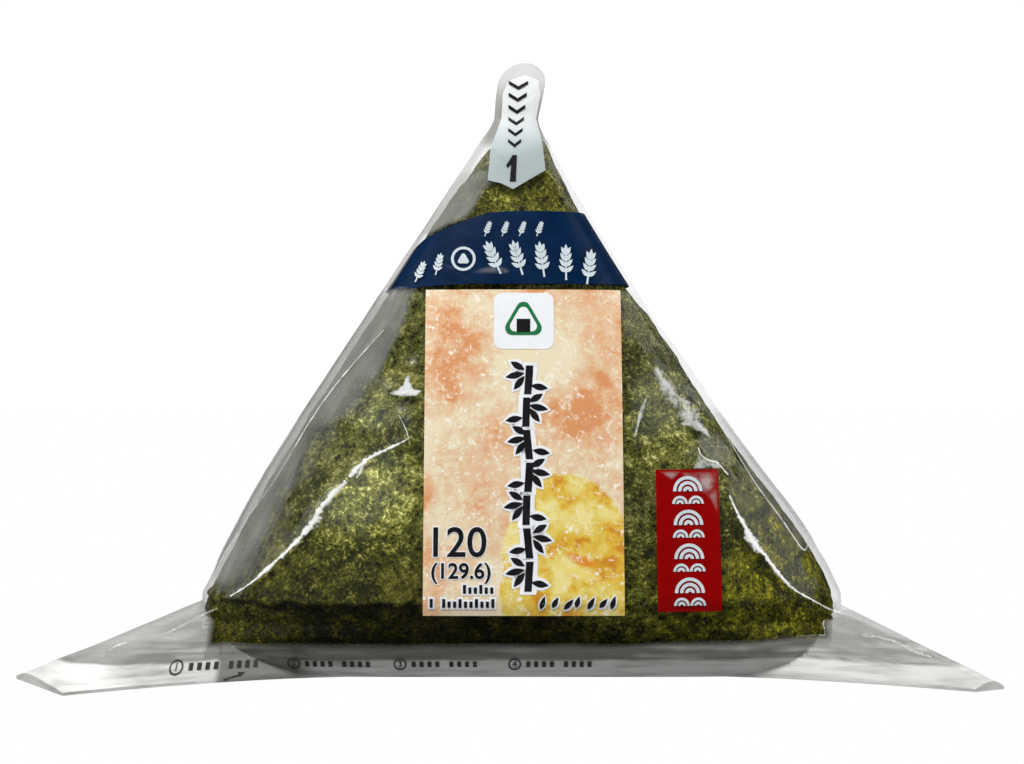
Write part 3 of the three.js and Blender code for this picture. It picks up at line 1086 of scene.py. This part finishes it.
# Painted highlights and sheens on the film and the inks: an outline, a strength, a softness and a material
# each.
PATCHES = {
    "left_fan": ([(-17.4, 42.1), (-15.7, 42.5), (-14.7, 43.3), (-14.4, 44.3), (-13.5, 45.2), (-13.6, 43.7),
                  (-12.9, 42.7), (-11.6, 42.4), (-12.7, 41.6), (-14.8, 41.5)], 1.0, 0.3, GLEAM),
    "right_fan": ([(29.1, 33.3), (30.6, 32.1), (32.1, 31.7), (33.3, 30.9), (31.4, 30.9), (28.1, 30.9),
                   (28.9, 32.2)], 0.75, 0.5, SHEEN),
    "red_shine": ([(26, 30.5), (31.8, 30.5), (31.8, 24), (30.6, 26.5), (28.4, 28.6)], 0.25, 1.4, SHEEN),
    "red_shine_left": ([(23, 30.6), (26.5, 30.6), (25, 29.2)], 0.25, 0.8, SHEEN),
    "blue_shine": ([(-0.6, 61.3), (1.5, 60.5), (0.9, 59.9), (-4.8, 59.9), (-3.4, 60.8)], 0.1, 0.8, SHEEN),
}

# %% [markdown]
# What is stuck or printed on the pack is cut as flat outlines in the front view, sliced into
# narrow cells so that it can bend, and then laid on the film with a small thickness.

# %% Helpers for flat artwork
INK_PROUD = 0.3
ON_LABEL = 0.42
ON_INK = 0.42
CELL = 1.5


def add_outline(bm, outline):
    bm.faces.new([bm.verts.new((x, 0, z)) for x, z in outline])


def add_figures(bm, text, x, z, size, grow=0.0):
    """Plain figures from Blender's own font, centred on a place."""
    curve = bpy.data.curves.new("figures", "FONT")
    curve.body = text
    curve.size = size
    curve.align_x = "CENTER"
    curve.align_y = "CENTER"
    curve.offset = grow
    maker = bpy.data.objects.new("figures", curve)
    bpy.context.collection.objects.link(maker)
    graph = bpy.context.evaluated_depsgraph_get()
    mesh = bpy.data.meshes.new_from_object(maker.evaluated_get(graph))
    bpy.data.objects.remove(maker)
    start = len(bm.verts)
    bm.from_mesh(mesh)
    bm.verts.ensure_lookup_table()
    for vert in bm.verts[start:]:
        vert.co = (x + vert.co.x, 0, z + vert.co.y)


def slice_up(bm, cell):
    """Cuts the faces along a square grid so that they can follow a curved surface."""
    points = coordinates(bm)
    for axis, normal in ((0, (1, 0, 0)), (2, (0, 0, 1))):
        low, high = points[:, axis].min(), points[:, axis].max()
        for step in np.arange(math.ceil(low / cell), high / cell):
            where = [0, 0, 0]
            where[axis] = step * cell
            geometry = [*bm.verts, *bm.edges, *bm.faces]
            bmesh.ops.bisect_plane(bm, geom=geometry, plane_co=where, plane_no=normal, dist=1e-5)


def laid_on_front(name, bm, material, proud=INK_PROUD, thickness=0.05, on_folds=False):
    bmesh.ops.triangulate(bm, faces=bm.faces)
    slice_up(bm, CELL)
    points = coordinates(bm)
    x, z = points[:, 0], points[:, 2]
    points[:, 1] = (pack_front(x, z)[:, 1] if on_folds else front_y(x, z)) - proud
    move_to(bm, points)
    return finished(name, thicken(bm, thickness), material)


def flat_piece(name, outlines, material, proud=INK_PROUD, thickness=0.05):
    bm = bmesh.new()
    for outline in outlines:
        add_outline(bm, outline)
    return laid_on_front(name, bm, material, proud, thickness)


def box_outline(left, right, bottom, top):
    return [(left, bottom), (right, bottom), (right, top), (left, top)]


def turned(points, x, z, angle):
    c, s = math.cos(angle), math.sin(angle)
    return [(x + px * c - pz * s, z + px * s + pz * c) for px, pz in points]


def rounded_outline(left, right, bottom, top, radius, steps=6):
    corners = ((right - radius, bottom + radius, -90), (right - radius, top - radius, 0),
               (left + radius, top - radius, 90), (left + radius, bottom + radius, 180))
    points = []
    for x, z, start in corners:
        angles = np.radians(start + 90 * np.arange(steps + 1) / steps)
        points += [(x + radius * math.cos(a), z + radius * math.sin(a)) for a in angles]
    return points


def arc_outlines(x, z, inner, outer, start, end, steps=16):
    """A bent band between two radii, as one outline; angles in degrees."""
    angles = np.radians(np.linspace(start, end, steps + 1))
    rim = [(x + outer * math.cos(a), z + outer * math.sin(a)) for a in angles]
    hollow = [(x + inner * math.cos(a), z + inner * math.sin(a)) for a in angles[::-1]]
    return rim + hollow


def ring_outlines(x, z, inner, outer):
    return [arc_outlines(x, z, inner, outer, 0, 180), arc_outlines(x, z, inner, outer, 180, 360)]


def leaf_outline(x, z, length, width, angle, belly=0.38, steps=7):
    """A pointed brush stroke that starts at a place; the belly says where it is widest."""
    t = np.linspace(0, 1, steps)
    swell = np.sin(t / belly * math.pi / 2)
    taper = np.cos((t - belly) / (1 - belly) * math.pi / 2)
    half = width / 2 * np.where(t < belly, swell, taper)
    lower = [(length * a, -b) for a, b in zip(t, half)]
    upper = [(length * a, b) for a, b in zip(t[-2:0:-1], half[-2:0:-1])]
    return turned(lower + upper, x, z, angle)


PATCH_PROUD = 0.5
gleams += [patch("patch_" + name, *values, PATCH_PROUD) for name, values in PATCHES.items()]

# %% [markdown]
# Ink on film is flat colour under a soft gloss. The sticker carries peach, cream and golden fields.
# Rounded cells from a Voronoi pattern, bent by noise, give them plump and blurred forms, and a few
# soft ovals say where the peach is deeper or paler. A domed oval holds the golden field.

# %% Ink and sticker finishes
def make_ink(name, color, roughness=0.25, mottling=0.08, cover=1.0):
    constants = {"Roughness": roughness, "Alpha": cover, "Specular_IOR_Level": 0.07}
    material, tree, shader, place = new_material(name, **constants)
    low = tuple(c * (1 - mottling) for c in color)
    high = tuple(min(1, c * (1 + mottling)) for c in color)
    crinkle = use_group(tree, CRINKLE, Vector=place, Scale=120.0, Height=0.0002)
    shade = ramp(tree, cloudy(tree, place, 500.0), (0.3, low), (0.7, high))
    feed(tree, shader, Base_Color=shade, Normal=crinkle["Normal"])
    return material


def warped(tree, place, scale, bend):
    """The same coordinates, pushed about by noise."""
    warp = node(tree, "TexNoise", {"Vector": place, "Scale": scale, "Detail": 2.0}).outputs["Color"]
    shift = node(tree, "VectorMath", {0: warp, 1: (0.5, 0.5, 0.5)}, operation="SUBTRACT").outputs[0]
    moved = node(tree, "VectorMath", {0: shift, "Scale": bend}, operation="SCALE").outputs[0]
    return node(tree, "VectorMath", {0: place, 1: moved}, operation="ADD").outputs[0]


def lumps(tree, place, scale, bend):
    """Plump rounded cells: 0 in the middle of each and 1 in the seams between them."""
    settings = {"Vector": warped(tree, place, scale * 1.6, bend), "Scale": scale, "Smoothness": 0.6}
    return node(tree, "TexVoronoi", settings, feature="SMOOTH_F1").outputs["Distance"]


def oval(tree, place, x, z, reach_x, reach_z, angle=0.0):
    """Distance from the middle of an oval in the front view: 1 on its rim."""
    settings = {"Vector": place, "Location": (x * MM, 0, z * MM), "Rotation": (0, angle, 0),
                "Scale": (reach_x * MM, 1, reach_z * MM)}
    inside = node(tree, "Mapping", settings, vector_type="TEXTURE").outputs["Vector"]
    return node(tree, "VectorMath", {0: inside}, operation="LENGTH").outputs["Value"]


LUMPS = (
    (-5.5, 43.5, 4.5, 5.5, -0.05), (14.2, 37.5, 5, 6.5, -0.02), (12, 52, 6, 5, -0.07),
    (-5, 24.5, 7, 5, 0.1), (9.5, 46, 6, 4.5, 0.06), (-3.5, 36, 5, 3.5, 0.02),
    (-8.5, 53, 3, 4, -0.05), (-8.5, 31.5, 4, 3, -0.04),
)
PEACH = (
    (0.52, (0.70, 0.30, 0.12)), (0.62, (0.76, 0.45, 0.25)), (0.72, (0.78, 0.57, 0.36)),
    (0.84, (0.83, 0.73, 0.51)),
)
GOLD = (
    (0.50, (0.62, 0.26, 0.02)), (0.60, (0.73, 0.45, 0.045)), (0.70, (0.76, 0.57, 0.10)),
    (0.84, (0.85, 0.73, 0.28)),
)
GOLD_MIDDLE = 0.0175
SLIT_COLOR = (0.74, 0.27, 0.02)
ROLL_COLOR = (0.90, 0.74, 0.24)
GLINT_COLOR = (0.95, 0.91, 0.80)


def peach_field(tree, place, grain):
    plump = lumps(tree, place, 105.0, 0.012)
    mix = calculate(tree, "ADD", grain, calculate(tree, "MULTIPLY", plump, 0.55))
    for x, z, reach_x, reach_z, shift in LUMPS:
        near = oval(tree, warped(tree, place, 200.0, 0.004), x, z, reach_x, reach_z)
        mix = calculate(tree, "MULTIPLY_ADD", remap(tree, near, 1.1, 0.4), shift, mix)
    return ramp(tree, mix, *PEACH)


def golden_field(tree, place, bent_place, grain):
    """Golden lumps with a deeper slit across them and a paler roll below it."""
    small = lumps(tree, place, 230.0, 0.006)
    mix = calculate(tree, "ADD", grain, calculate(tree, "MULTIPLY", small, 0.55))
    slit = remap(tree, oval(tree, bent_place, 11.8, 17.8, 3.2, 0.9, 0.45), 1.1, 0.5)
    roll = remap(tree, oval(tree, bent_place, 11.3, 16.0, 4.6, 0.9, 0.4), 1.1, 0.5, 0.0, 0.7)
    return blend(tree, roll, blend(tree, slit, ramp(tree, mix, *GOLD), SLIT_COLOR), ROLL_COLOR)


def golden_share(tree, bent_place):
    """1 inside the golden field, which has a straight-sided foot and a domed top."""
    axes = node(tree, "SeparateXYZ", {0: bent_place}).outputs
    raised = calculate(tree, "MAXIMUM", axes["Z"], GOLD_MIDDLE)
    domed = node(tree, "CombineXYZ", {"X": axes["X"], "Y": axes["Y"], "Z": raised}).outputs[0]
    return remap(tree, oval(tree, domed, 9.4, 17.5, 9.4, 12.9), 1.02, 0.98)


def glints(tree, place, fine):
    """Thin pale lines and specks, as on something moist."""
    swirl = calculate(tree, "SUBTRACT", cloudy(tree, place, 170.0, 3.0, 0.6, 1.5), 0.5)
    thin = remap(tree, calculate(tree, "ABSOLUTE", swirl), 0.022, 0.0)
    lines = calculate(tree, "MULTIPLY", thin, remap(tree, fine, 0.48, 0.62))
    specks = remap(tree, cloudy(tree, place, 750.0, 3.0, 0.7), 0.60, 0.70)
    return calculate(tree, "MAXIMUM", lines, specks)


def make_sticker_material():
    material, tree, shader, place = new_material("sticker", Roughness=0.3)
    streak = cloudy(tree, place, 260.0, 4.0, 0.6, 1.0)
    fine = cloudy(tree, place, 900.0, 4.0, 0.7, 0.8)
    grain = calculate(tree, "MULTIPLY_ADD", fine, 0.45, calculate(tree, "MULTIPLY", streak, 0.4))
    bent_place = warped(tree, place, 260.0, 0.002)
    golden = golden_field(tree, place, bent_place, grain)
    color = blend(tree, golden_share(tree, bent_place), peach_field(tree, place, grain), golden)
    feed(tree, shader, Base_Color=blend(tree, glints(tree, place, fine), color, GLINT_COLOR))
    return material


STICKER = make_sticker_material()


def make_tab_material():
    """White ink, thin and bluish over the nori and brighter on the clear end above it."""
    material, tree, shader, place = new_material("tab_ink", Roughness=0.4, Specular_IOR_Level=0.2)
    height = node(tree, "SeparateXYZ", {0: place}).outputs["Z"]
    share = remap(tree, height, 0.079, 0.086)
    crinkle = use_group(tree, CRINKLE, Vector=place, Scale=160.0, Height=0.00025)
    color = blend(tree, share, (0.50, 0.57, 0.58), (0.90, 0.92, 0.92))
    cover = remap(tree, share, 0.0, 1.0, 0.72, 0.8)
    feed(tree, shader, Base_Color=color, Alpha=cover, Normal=crinkle["Normal"])
    return material


TAB_INK = make_tab_material()
WHITE_INK = make_ink("white_ink", (0.84, 0.86, 0.88), 0.3, 0.02)
BLACK_INK = make_ink("black_ink", (0.012, 0.012, 0.014), 0.3, 0.3)
BLUE_INK = make_ink("blue_ink", (0.0006, 0.0135, 0.05), 0.35, 0.2)
RED_INK = make_ink("red_ink", (0.255, 0.0006, 0.001), 0.32, 0.1)
PALE_INK = make_ink("pale_ink", (0.58, 0.66, 0.70), 0.3, 0.04)
GREEN_INK = make_ink("green_ink", (0.02, 0.17, 0.06), 0.3, 0.05)
FADED_INK = make_ink("faded_ink", (0.045, 0.047, 0.045), 0.35, 0.2, 0.75)

# %% [markdown]
# The sticker is one flat rectangle. It carries a white square with a rice ball sign, a painted
# bamboo with a pale halo, plain figures, and rows of short bars and leaves. Each mark lies a
# little further out than what is under it, so that no two faces share a place.

# %% Front sticker
LABEL_SQUARE = (-1.2, 7.7, 48.6, 57, 1.2)
SQUARE_SIGN = (3.2, 52.7)
MARK_STEP = 0.06
CANE_X = 3.8
CANE_FOOT = 13.4
CANE_STEP = 4.75
CANE_JOINTS = 7

label = flat_piece("label", [box_outline(*LABEL)], STICKER, thickness=0.1)
label_square = flat_piece("label_square", [rounded_outline(*LABEL_SQUARE)], WHITE_INK, ON_LABEL)


def rice_ball_outline(x, z, size):
    corners = [turned([(0, size)], x, z, math.radians(angle))[0] for angle in (0, 120, 240)]
    points = []
    for index, (cx, cz) in enumerate(corners):
        start = 30 + 120 * index
        inward_x, inward_z = x + (cx - x) * 0.62, z + (cz - z) * 0.62
        points += [(inward_x + 0.34 * size * math.cos(a), inward_z + 0.34 * size * math.sin(a))
                   for a in np.radians(start + 120 * np.arange(7) / 6)]
    return points


sign_ball = flat_piece(
    "sign_ball", [rice_ball_outline(*SQUARE_SIGN, 3.1)], GREEN_INK, ON_LABEL + MARK_STEP)
sign_rice = flat_piece(
    "sign_rice", [rice_ball_outline(*SQUARE_SIGN, 2.3)], WHITE_INK, ON_LABEL + 2 * MARK_STEP)
sign_nori = flat_piece(
    "sign_nori", [box_outline(2.2, 4.2, 51.2, 53.1)], BLACK_INK, ON_LABEL + 3 * MARK_STEP)

LEAF_FAN = ((2.7, -52, 2.6), (3.1, -12, 2.9), (3.6, 30, 2.4))
LONE_LEAF = ((1.3, -10, 2.6),)
LEAF_WIDTH = 0.98
CANE_HALF = 0.36
CANE_SWAY = 0.3


def cane_piece(step, half, grow):
    """One length of the cane, from its swollen foot to its swollen top."""
    foot = CANE_FOOT + step * CANE_STEP
    top = foot + CANE_STEP - 0.5
    low_x = CANE_X + CANE_SWAY * math.sin(2.1 * step)
    high_x = CANE_X + CANE_SWAY * math.sin(2.1 * step + 1.6)
    wide, narrow = half * 1.5, half * 0.8
    right = [(low_x + wide, foot - grow), (low_x + narrow, foot + 0.7), (high_x + narrow, top - 0.6),
             (high_x + wide, top + grow)]
    left = [(high_x - wide, top + grow), (high_x - narrow, top - 0.6), (low_x - narrow, foot + 0.7)]
    return [(low_x - wide, foot - grow), *right, *left]


def bamboo_strokes(grow):
    """A bamboo in brush strokes: a jointed cane, with a fan of leaves on one side and then the other."""
    strokes = []
    for step in range(CANE_JOINTS):
        foot = CANE_FOOT + step * CANE_STEP
        strokes.append(cane_piece(step, CANE_HALF + grow, grow))
        fan_side = 1 if step % 2 else -1
        for side, leaves in ((fan_side, LEAF_FAN), (-fan_side, LONE_LEAF)):
            for rise, droop, length in leaves:
                angle = math.radians(droop if side > 0 else 180 - droop)
                x = CANE_X + CANE_SWAY * math.sin(2.1 * step) + side * 0.45 - grow * math.cos(angle)
                z = foot + rise - grow * math.sin(angle)
                strokes.append(leaf_outline(x, z, length + 2 * grow, LEAF_WIDTH + 2 * grow, angle, 0.5))
    return strokes


def figure_piece(name, items, material, proud, grow=0.0):
    bm = bmesh.new()
    for text, x, z, size in items:
        add_figures(bm, text, x, z, size, grow)
    return laid_on_front(name, bm, material, proud)


PRICE = [("120", -6.6, 20.2, 6.0), ("(129.6)", -5.9, 16.2, 3.1)]
bamboo_halo = flat_piece("bamboo_halo", bamboo_strokes(0.45), WHITE_INK, ON_LABEL)
bamboo = flat_piece("bamboo", bamboo_strokes(0.0), BLACK_INK, ON_LABEL + MARK_STEP)
price_halo = figure_piece("price_halo", PRICE, WHITE_INK, ON_LABEL, 0.22)
price = figure_piece("price", PRICE, BLACK_INK, ON_LABEL + MARK_STEP, 0.06)

BAR_ROWS = ((-5.6, 6, 13.1), (-10.4, 1, 11.1), (-8.6, 10, 11.1))
BAR_STEP = 0.79
BAR_HEIGHTS = (1.25, 0.9, 0.9)
SMALL_LEAVES = 7


def small_strokes(grow):
    """Rows of short bars and a row of small leaves along the foot of the sticker."""
    strokes = []
    for left, count, low in BAR_ROWS:
        for bar in range(count):
            x = left + BAR_STEP * bar
            top = low + BAR_HEIGHTS[bar % 3]
            strokes.append(box_outline(x - grow, x + 0.45 + grow, low - grow, top + grow))
    for step in range(SMALL_LEAVES):
        length = 2.1 - 0.3 * (step % 2) + 2 * grow
        x = 5.6 + 1.7 * step - grow * 0.3
        z = 10.8 + 0.25 * (step % 2) - grow
        angle = math.radians(72 - 12 * (step % 3))
        strokes.append(leaf_outline(x, z, length, 0.75 + 2 * grow, angle))
    return strokes


small_halo = flat_piece("small_halo", small_strokes(0.25), WHITE_INK, ON_LABEL)
small_print = flat_piece("small_print", small_strokes(0.0), BLACK_INK, ON_LABEL + MARK_STEP)

# %% [markdown]
# The blue band is printed round the pack, so it is rolled like the film. At the left end it sags
# with the folded flap. Ears of rice and a ringed rice ball in pale ink run along it.

# %% Blue band
BAND_SIDE_INSET = 0.7
BAND_SINK = ((0, 0.3, 0.54, 0.84, 1), (0, 0.3, 1.5, 4, 6.4))


def band_edges(turn):
    """The band's lower and upper edge; both sink towards the left side."""
    left = np.clip(-np.sin(turn), 0, 1)
    return BAND_LOW - 0.9 * soft_step(left, 0.25, 1), BAND_HIGH - np.interp(left, *BAND_SINK)


def make_blue_band():
    bm = bmesh.new()
    bmesh.ops.create_grid(bm, x_segments=240, y_segments=16, size=0.5)
    flat = coordinates(bm)
    turn = flat[:, 0] * 2 * math.pi
    low, high = band_edges(turn)
    height = low + (high - low) * (flat[:, 1] + 0.5)
    move_to(bm, section(turn, height, FILM_POWER, BAND_SIDE_INSET, -INK_PROUD))
    bmesh.ops.remove_doubles(bm, verts=bm.verts, dist=1e-4)
    bmesh.ops.recalc_face_normals(bm, faces=bm.faces)
    return finished("blue_band_print", thicken(bm, 0.08), BLUE_INK)


def rice_ear(x, z, size, angle):
    """A bending ear of rice: a stem and pairs of grains along it."""
    stem = [(-0.5, -0.03), (0.3, -0.02), (0.3, 0.02), (-0.5, 0.03)]
    outlines = [turned([(along * size, aside * size) for along, aside in stem], x, z, angle)]
    for step in range(4):
        start = turned([((0.17 * step - 0.26) * size, 0)], x, z, angle)[0]
        for side in (-1, 1):
            spread = side * (0.85 - 0.12 * step)
            outlines.append(leaf_outline(*start, 0.3 * size, 0.13 * size, angle + spread))
    tip = turned([(0.3 * size, 0)], x, z, angle)[0]
    return outlines + [leaf_outline(*tip, 0.3 * size, 0.12 * size, angle)]


def band_motif():
    outlines = []
    for x in (-2.2, 0.4, 3.0, 5.6):
        outlines += rice_ear(x, 66.7, 2.3, math.radians(70))
    for step, x in enumerate((-1.2, 2.4, 6.0, 9.6, 13.1)):
        outlines += rice_ear(x, 62.2 - 0.008 * x * x, 5, math.radians(114 - 8 * step))
    outlines += rice_ear(-12.4, 60.2, 3.2, math.radians(66))
    outlines += rice_ear(-9.6, 61.3, 3.2, math.radians(76))
    outlines += ring_outlines(-5.8, 62.2, 1.45, 1.85)
    outlines.append(rice_ball_outline(-5.8, 62.1, 0.95))
    return outlines


blue_band = make_blue_band()
band_marks = flat_piece("band_marks", band_motif(), PALE_INK, ON_INK)

# %% [markdown]
# The red panel has four groups of pale waves, each of nested arcs, one above the other. The tab at
# the top is white and thin enough to darken where nori lies behind it. It points down, as the
# chevrons on it do, and the figure says that it is pulled first.

# %% Red panel and pull tab
TAB_OUTLINE = [
    (1.65, 72.9), (6.6, 75.9), (6.05, 80.8), (5.2, 84.4), (5.9, 88.2), (5.6, 90.4), (3.5, 91.3),
    (1.0, 90.3), (0.1, 88.4), (-0.1, 84.4), (-1.7, 79.6), (-1.75, 76), (-2.2, 74.3), (-0.1, 73.8),
]
ONE_STEM = [(1.15, 74.1), (2.08, 74.1), (2.24, 78.2), (1.5, 78.2)]
ONE_FLAG = [(0.62, 76.6), (0.8, 76.2), (1.6, 77.0), (1.9, 78.2), (1.62, 78.2)]
CHEVRONS = 6
WAVE_X = 27.3
WAVE_LOW = 11.3
WAVE_STEP = 4.85


def wave(x, z, size, reaches, weight):
    """Nested half rings, as in the old pattern of sea waves."""
    return [arc_outlines(x, z, size * (reach - weight), size * reach, 0, 180) for reach in reaches]


def wave_signs():
    outlines = []
    for row in range(4):
        z = WAVE_LOW + WAVE_STEP * row
        outlines += wave(WAVE_X, z + 1.8, 2.2, (0.32, 0.66, 1.0), 0.21)
        for x in (WAVE_X - 1.2, WAVE_X + 1.2):
            outlines += wave(x, z, 1.15, (0.5, 1.0), 0.32)
    return outlines


def chevron(x, z, half, drop, weight):
    """A bent stroke that points down."""
    lower = [(x - half, z + drop), (x, z), (x + half, z + drop)]
    return lower + [(px, pz + weight) for px, pz in reversed(lower)]


def chevrons():
    return [chevron(1.9 + 0.12 * step, 79.4 + 1.9 * step, 1.0 + 0.1 * step, 0.9, 0.55)
            for step in range(CHEVRONS)]


red_panel = flat_piece("red_panel_print", [box_outline(*RED_PANEL)], RED_INK)
wave_marks = flat_piece("wave_marks", wave_signs(), PALE_INK, ON_INK)
tab = flat_piece("tab_print", [TAB_OUTLINE], TAB_INK)
tab_marks = flat_piece("tab_marks", chevrons(), BLACK_INK, ON_INK)
tab_figure = flat_piece("tab_figure", [ONE_STEM, ONE_FLAG], BLACK_INK, ON_INK)

# %% [markdown]
# The hem carries the opening steps in faded grey: a numbered ring and a few bars for each, and a
# small arrow at the left. They lie on film that turns under, so they look squat from the front.

# %% Marks on the hem
HEM_MARK_Z = 2.3
STEP_X = (-47.2, -30.6, -14.9, 1.9)
HEM_BARS = (0, 1, 2, 3, 4.8, 5.8, 6.8, 7.8)
HEM_ARROW = [
    (-40.5, 0.5), (-38.4, 1.0), (-38.6, 1.3), (-37.6, 1.25), (-38.3, 0.7), (-38.4, 0.85), (-40.4, 0.3),
]


def hem_marks():
    bm = bmesh.new()
    for index, x in enumerate(STEP_X):
        for outline in ring_outlines(x, HEM_MARK_Z, 0.75, 0.95):
            add_outline(bm, outline)
        add_figures(bm, str(index + 1), x, HEM_MARK_Z, 1.5)
        for bar in HEM_BARS:
            left = x + 1.7 + 1.15 * bar
            add_outline(bm, box_outline(left, left + 0.6, HEM_MARK_Z - 0.45, HEM_MARK_Z + 0.45))
    add_outline(bm, HEM_ARROW)
    return bm


hem_print = laid_on_front("hem_print", hem_marks(), FADED_INK, 0.2, 0.03, True)

# %% [markdown]
# The studio is a pale floor and soft boxes. The camera sees a white floor and sky, but the film
# must not mirror them, or it would lose its clearness. So both are white for rays from the camera
# only. The floor also glows softly on rough surfaces, so that what faces down isn't dark. The
# rest of the light comes from the soft boxes.

# %% Floor, sky and lights
SKY_LEVEL = 0.06
FLOOR_COLOR = (0.11, 0.11, 0.11)
FLOOR_GLOW = 0.42
FLOOR_HALF = 2500
FLOOR_DROP = 0.05


def make_floor():
    bm = bmesh.new()
    bmesh.ops.create_grid(bm, x_segments=1, y_segments=1, size=FLOOR_HALF)
    material, tree, shader, _ = new_material("floor", Roughness=0.8)
    shader.inputs["Base Color"].default_value = (*FLOOR_COLOR, 1)
    path = node(tree, "LightPath").outputs
    glow = node(tree, "Emission", {"Strength": FLOOR_GLOW})
    lit = node(tree, "MixShader", {0: path["Is Diffuse Ray"], 1: shader.outputs[0], 2: glow.outputs[0]})
    white = node(tree, "Emission", {"Strength": 1.0})
    mix = node(tree, "MixShader", {0: path["Is Camera Ray"], 1: lit.outputs[0], 2: white.outputs[0]})
    material.cycles.emission_sampling = "NONE"
    tree.links.new(mix.outputs[0], tree.nodes["Material Output"].inputs["Surface"])
    bmesh.ops.translate(bm, vec=(0, 0, -FLOOR_DROP), verts=bm.verts)
    finished("floor", bm, material)


def make_sky():
    world = bpy.data.worlds.new("studio")
    bpy.context.scene.world = world
    world.use_nodes = True
    tree = world.node_tree
    seen = node(tree, "LightPath").outputs["Is Camera Ray"]
    glow = tree.nodes["Background"]
    glow.inputs["Color"].default_value = (1, 1, 1, 1)
    tree.links.new(remap(tree, seen, 0.0, 1.0, SKY_LEVEL, 1.1), glow.inputs["Strength"])


def soft_box(name, place, size, power, aim=(0.0, 0.0, 0.04)):
    data = bpy.data.lights.new(name, "AREA")
    data.shape = "RECTANGLE"
    data.size, data.size_y = size
    data.energy = power
    lamp = bpy.data.objects.new(name, data)
    lamp.location = place
    lamp.rotation_euler = (Vector(aim) - Vector(place)).to_track_quat("-Z", "Y").to_euler()
    bpy.context.collection.objects.link(lamp)


make_floor()
make_sky()
soft_box("key", (-0.12, -0.34, 0.6), (0.34, 0.24), 4.2)
soft_box("left", (-0.6, -0.12, 0.25), (0.45, 0.6), 2.2)
soft_box("right", (0.6, -0.15, 0.28), (0.4, 0.6), 2.0)
soft_box("back", (0.0, 0.6, 0.5), (0.7, 0.3), 4.0)
bpy.context.scene.view_settings.view_transform = "Standard"
bpy.context.scene.cycles.use_denoising = True
bpy.context.scene.cycles.transparent_max_bounces = 24

# %% [markdown]
# Last, every piece is tied to the body it moves with and grouped under the finish it takes, and
# the solids that the pieces stand in for are hidden.

# %% Join the pieces to the frame
FINISHES = {
    "film_and_nori": [nori_body, film, flap_left, flap_right, back_seam, hem_print, *gleams],
    "label": [label, label_square, sign_ball, sign_rice, sign_nori, bamboo_halo, bamboo, price_halo, price,
              small_halo, small_print],
    "blue_print": [blue_band, band_marks],
    "red_print": [red_panel, wave_marks],
    "tab_print": [tab, tab_marks, tab_figure],
}

for finish, pieces in FINISHES.items():
    for piece in pieces:
        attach(piece, "root")

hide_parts("film_pack")
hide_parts("front_label")
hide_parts("blue_band")
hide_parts("red_panel")
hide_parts("pull_tab")
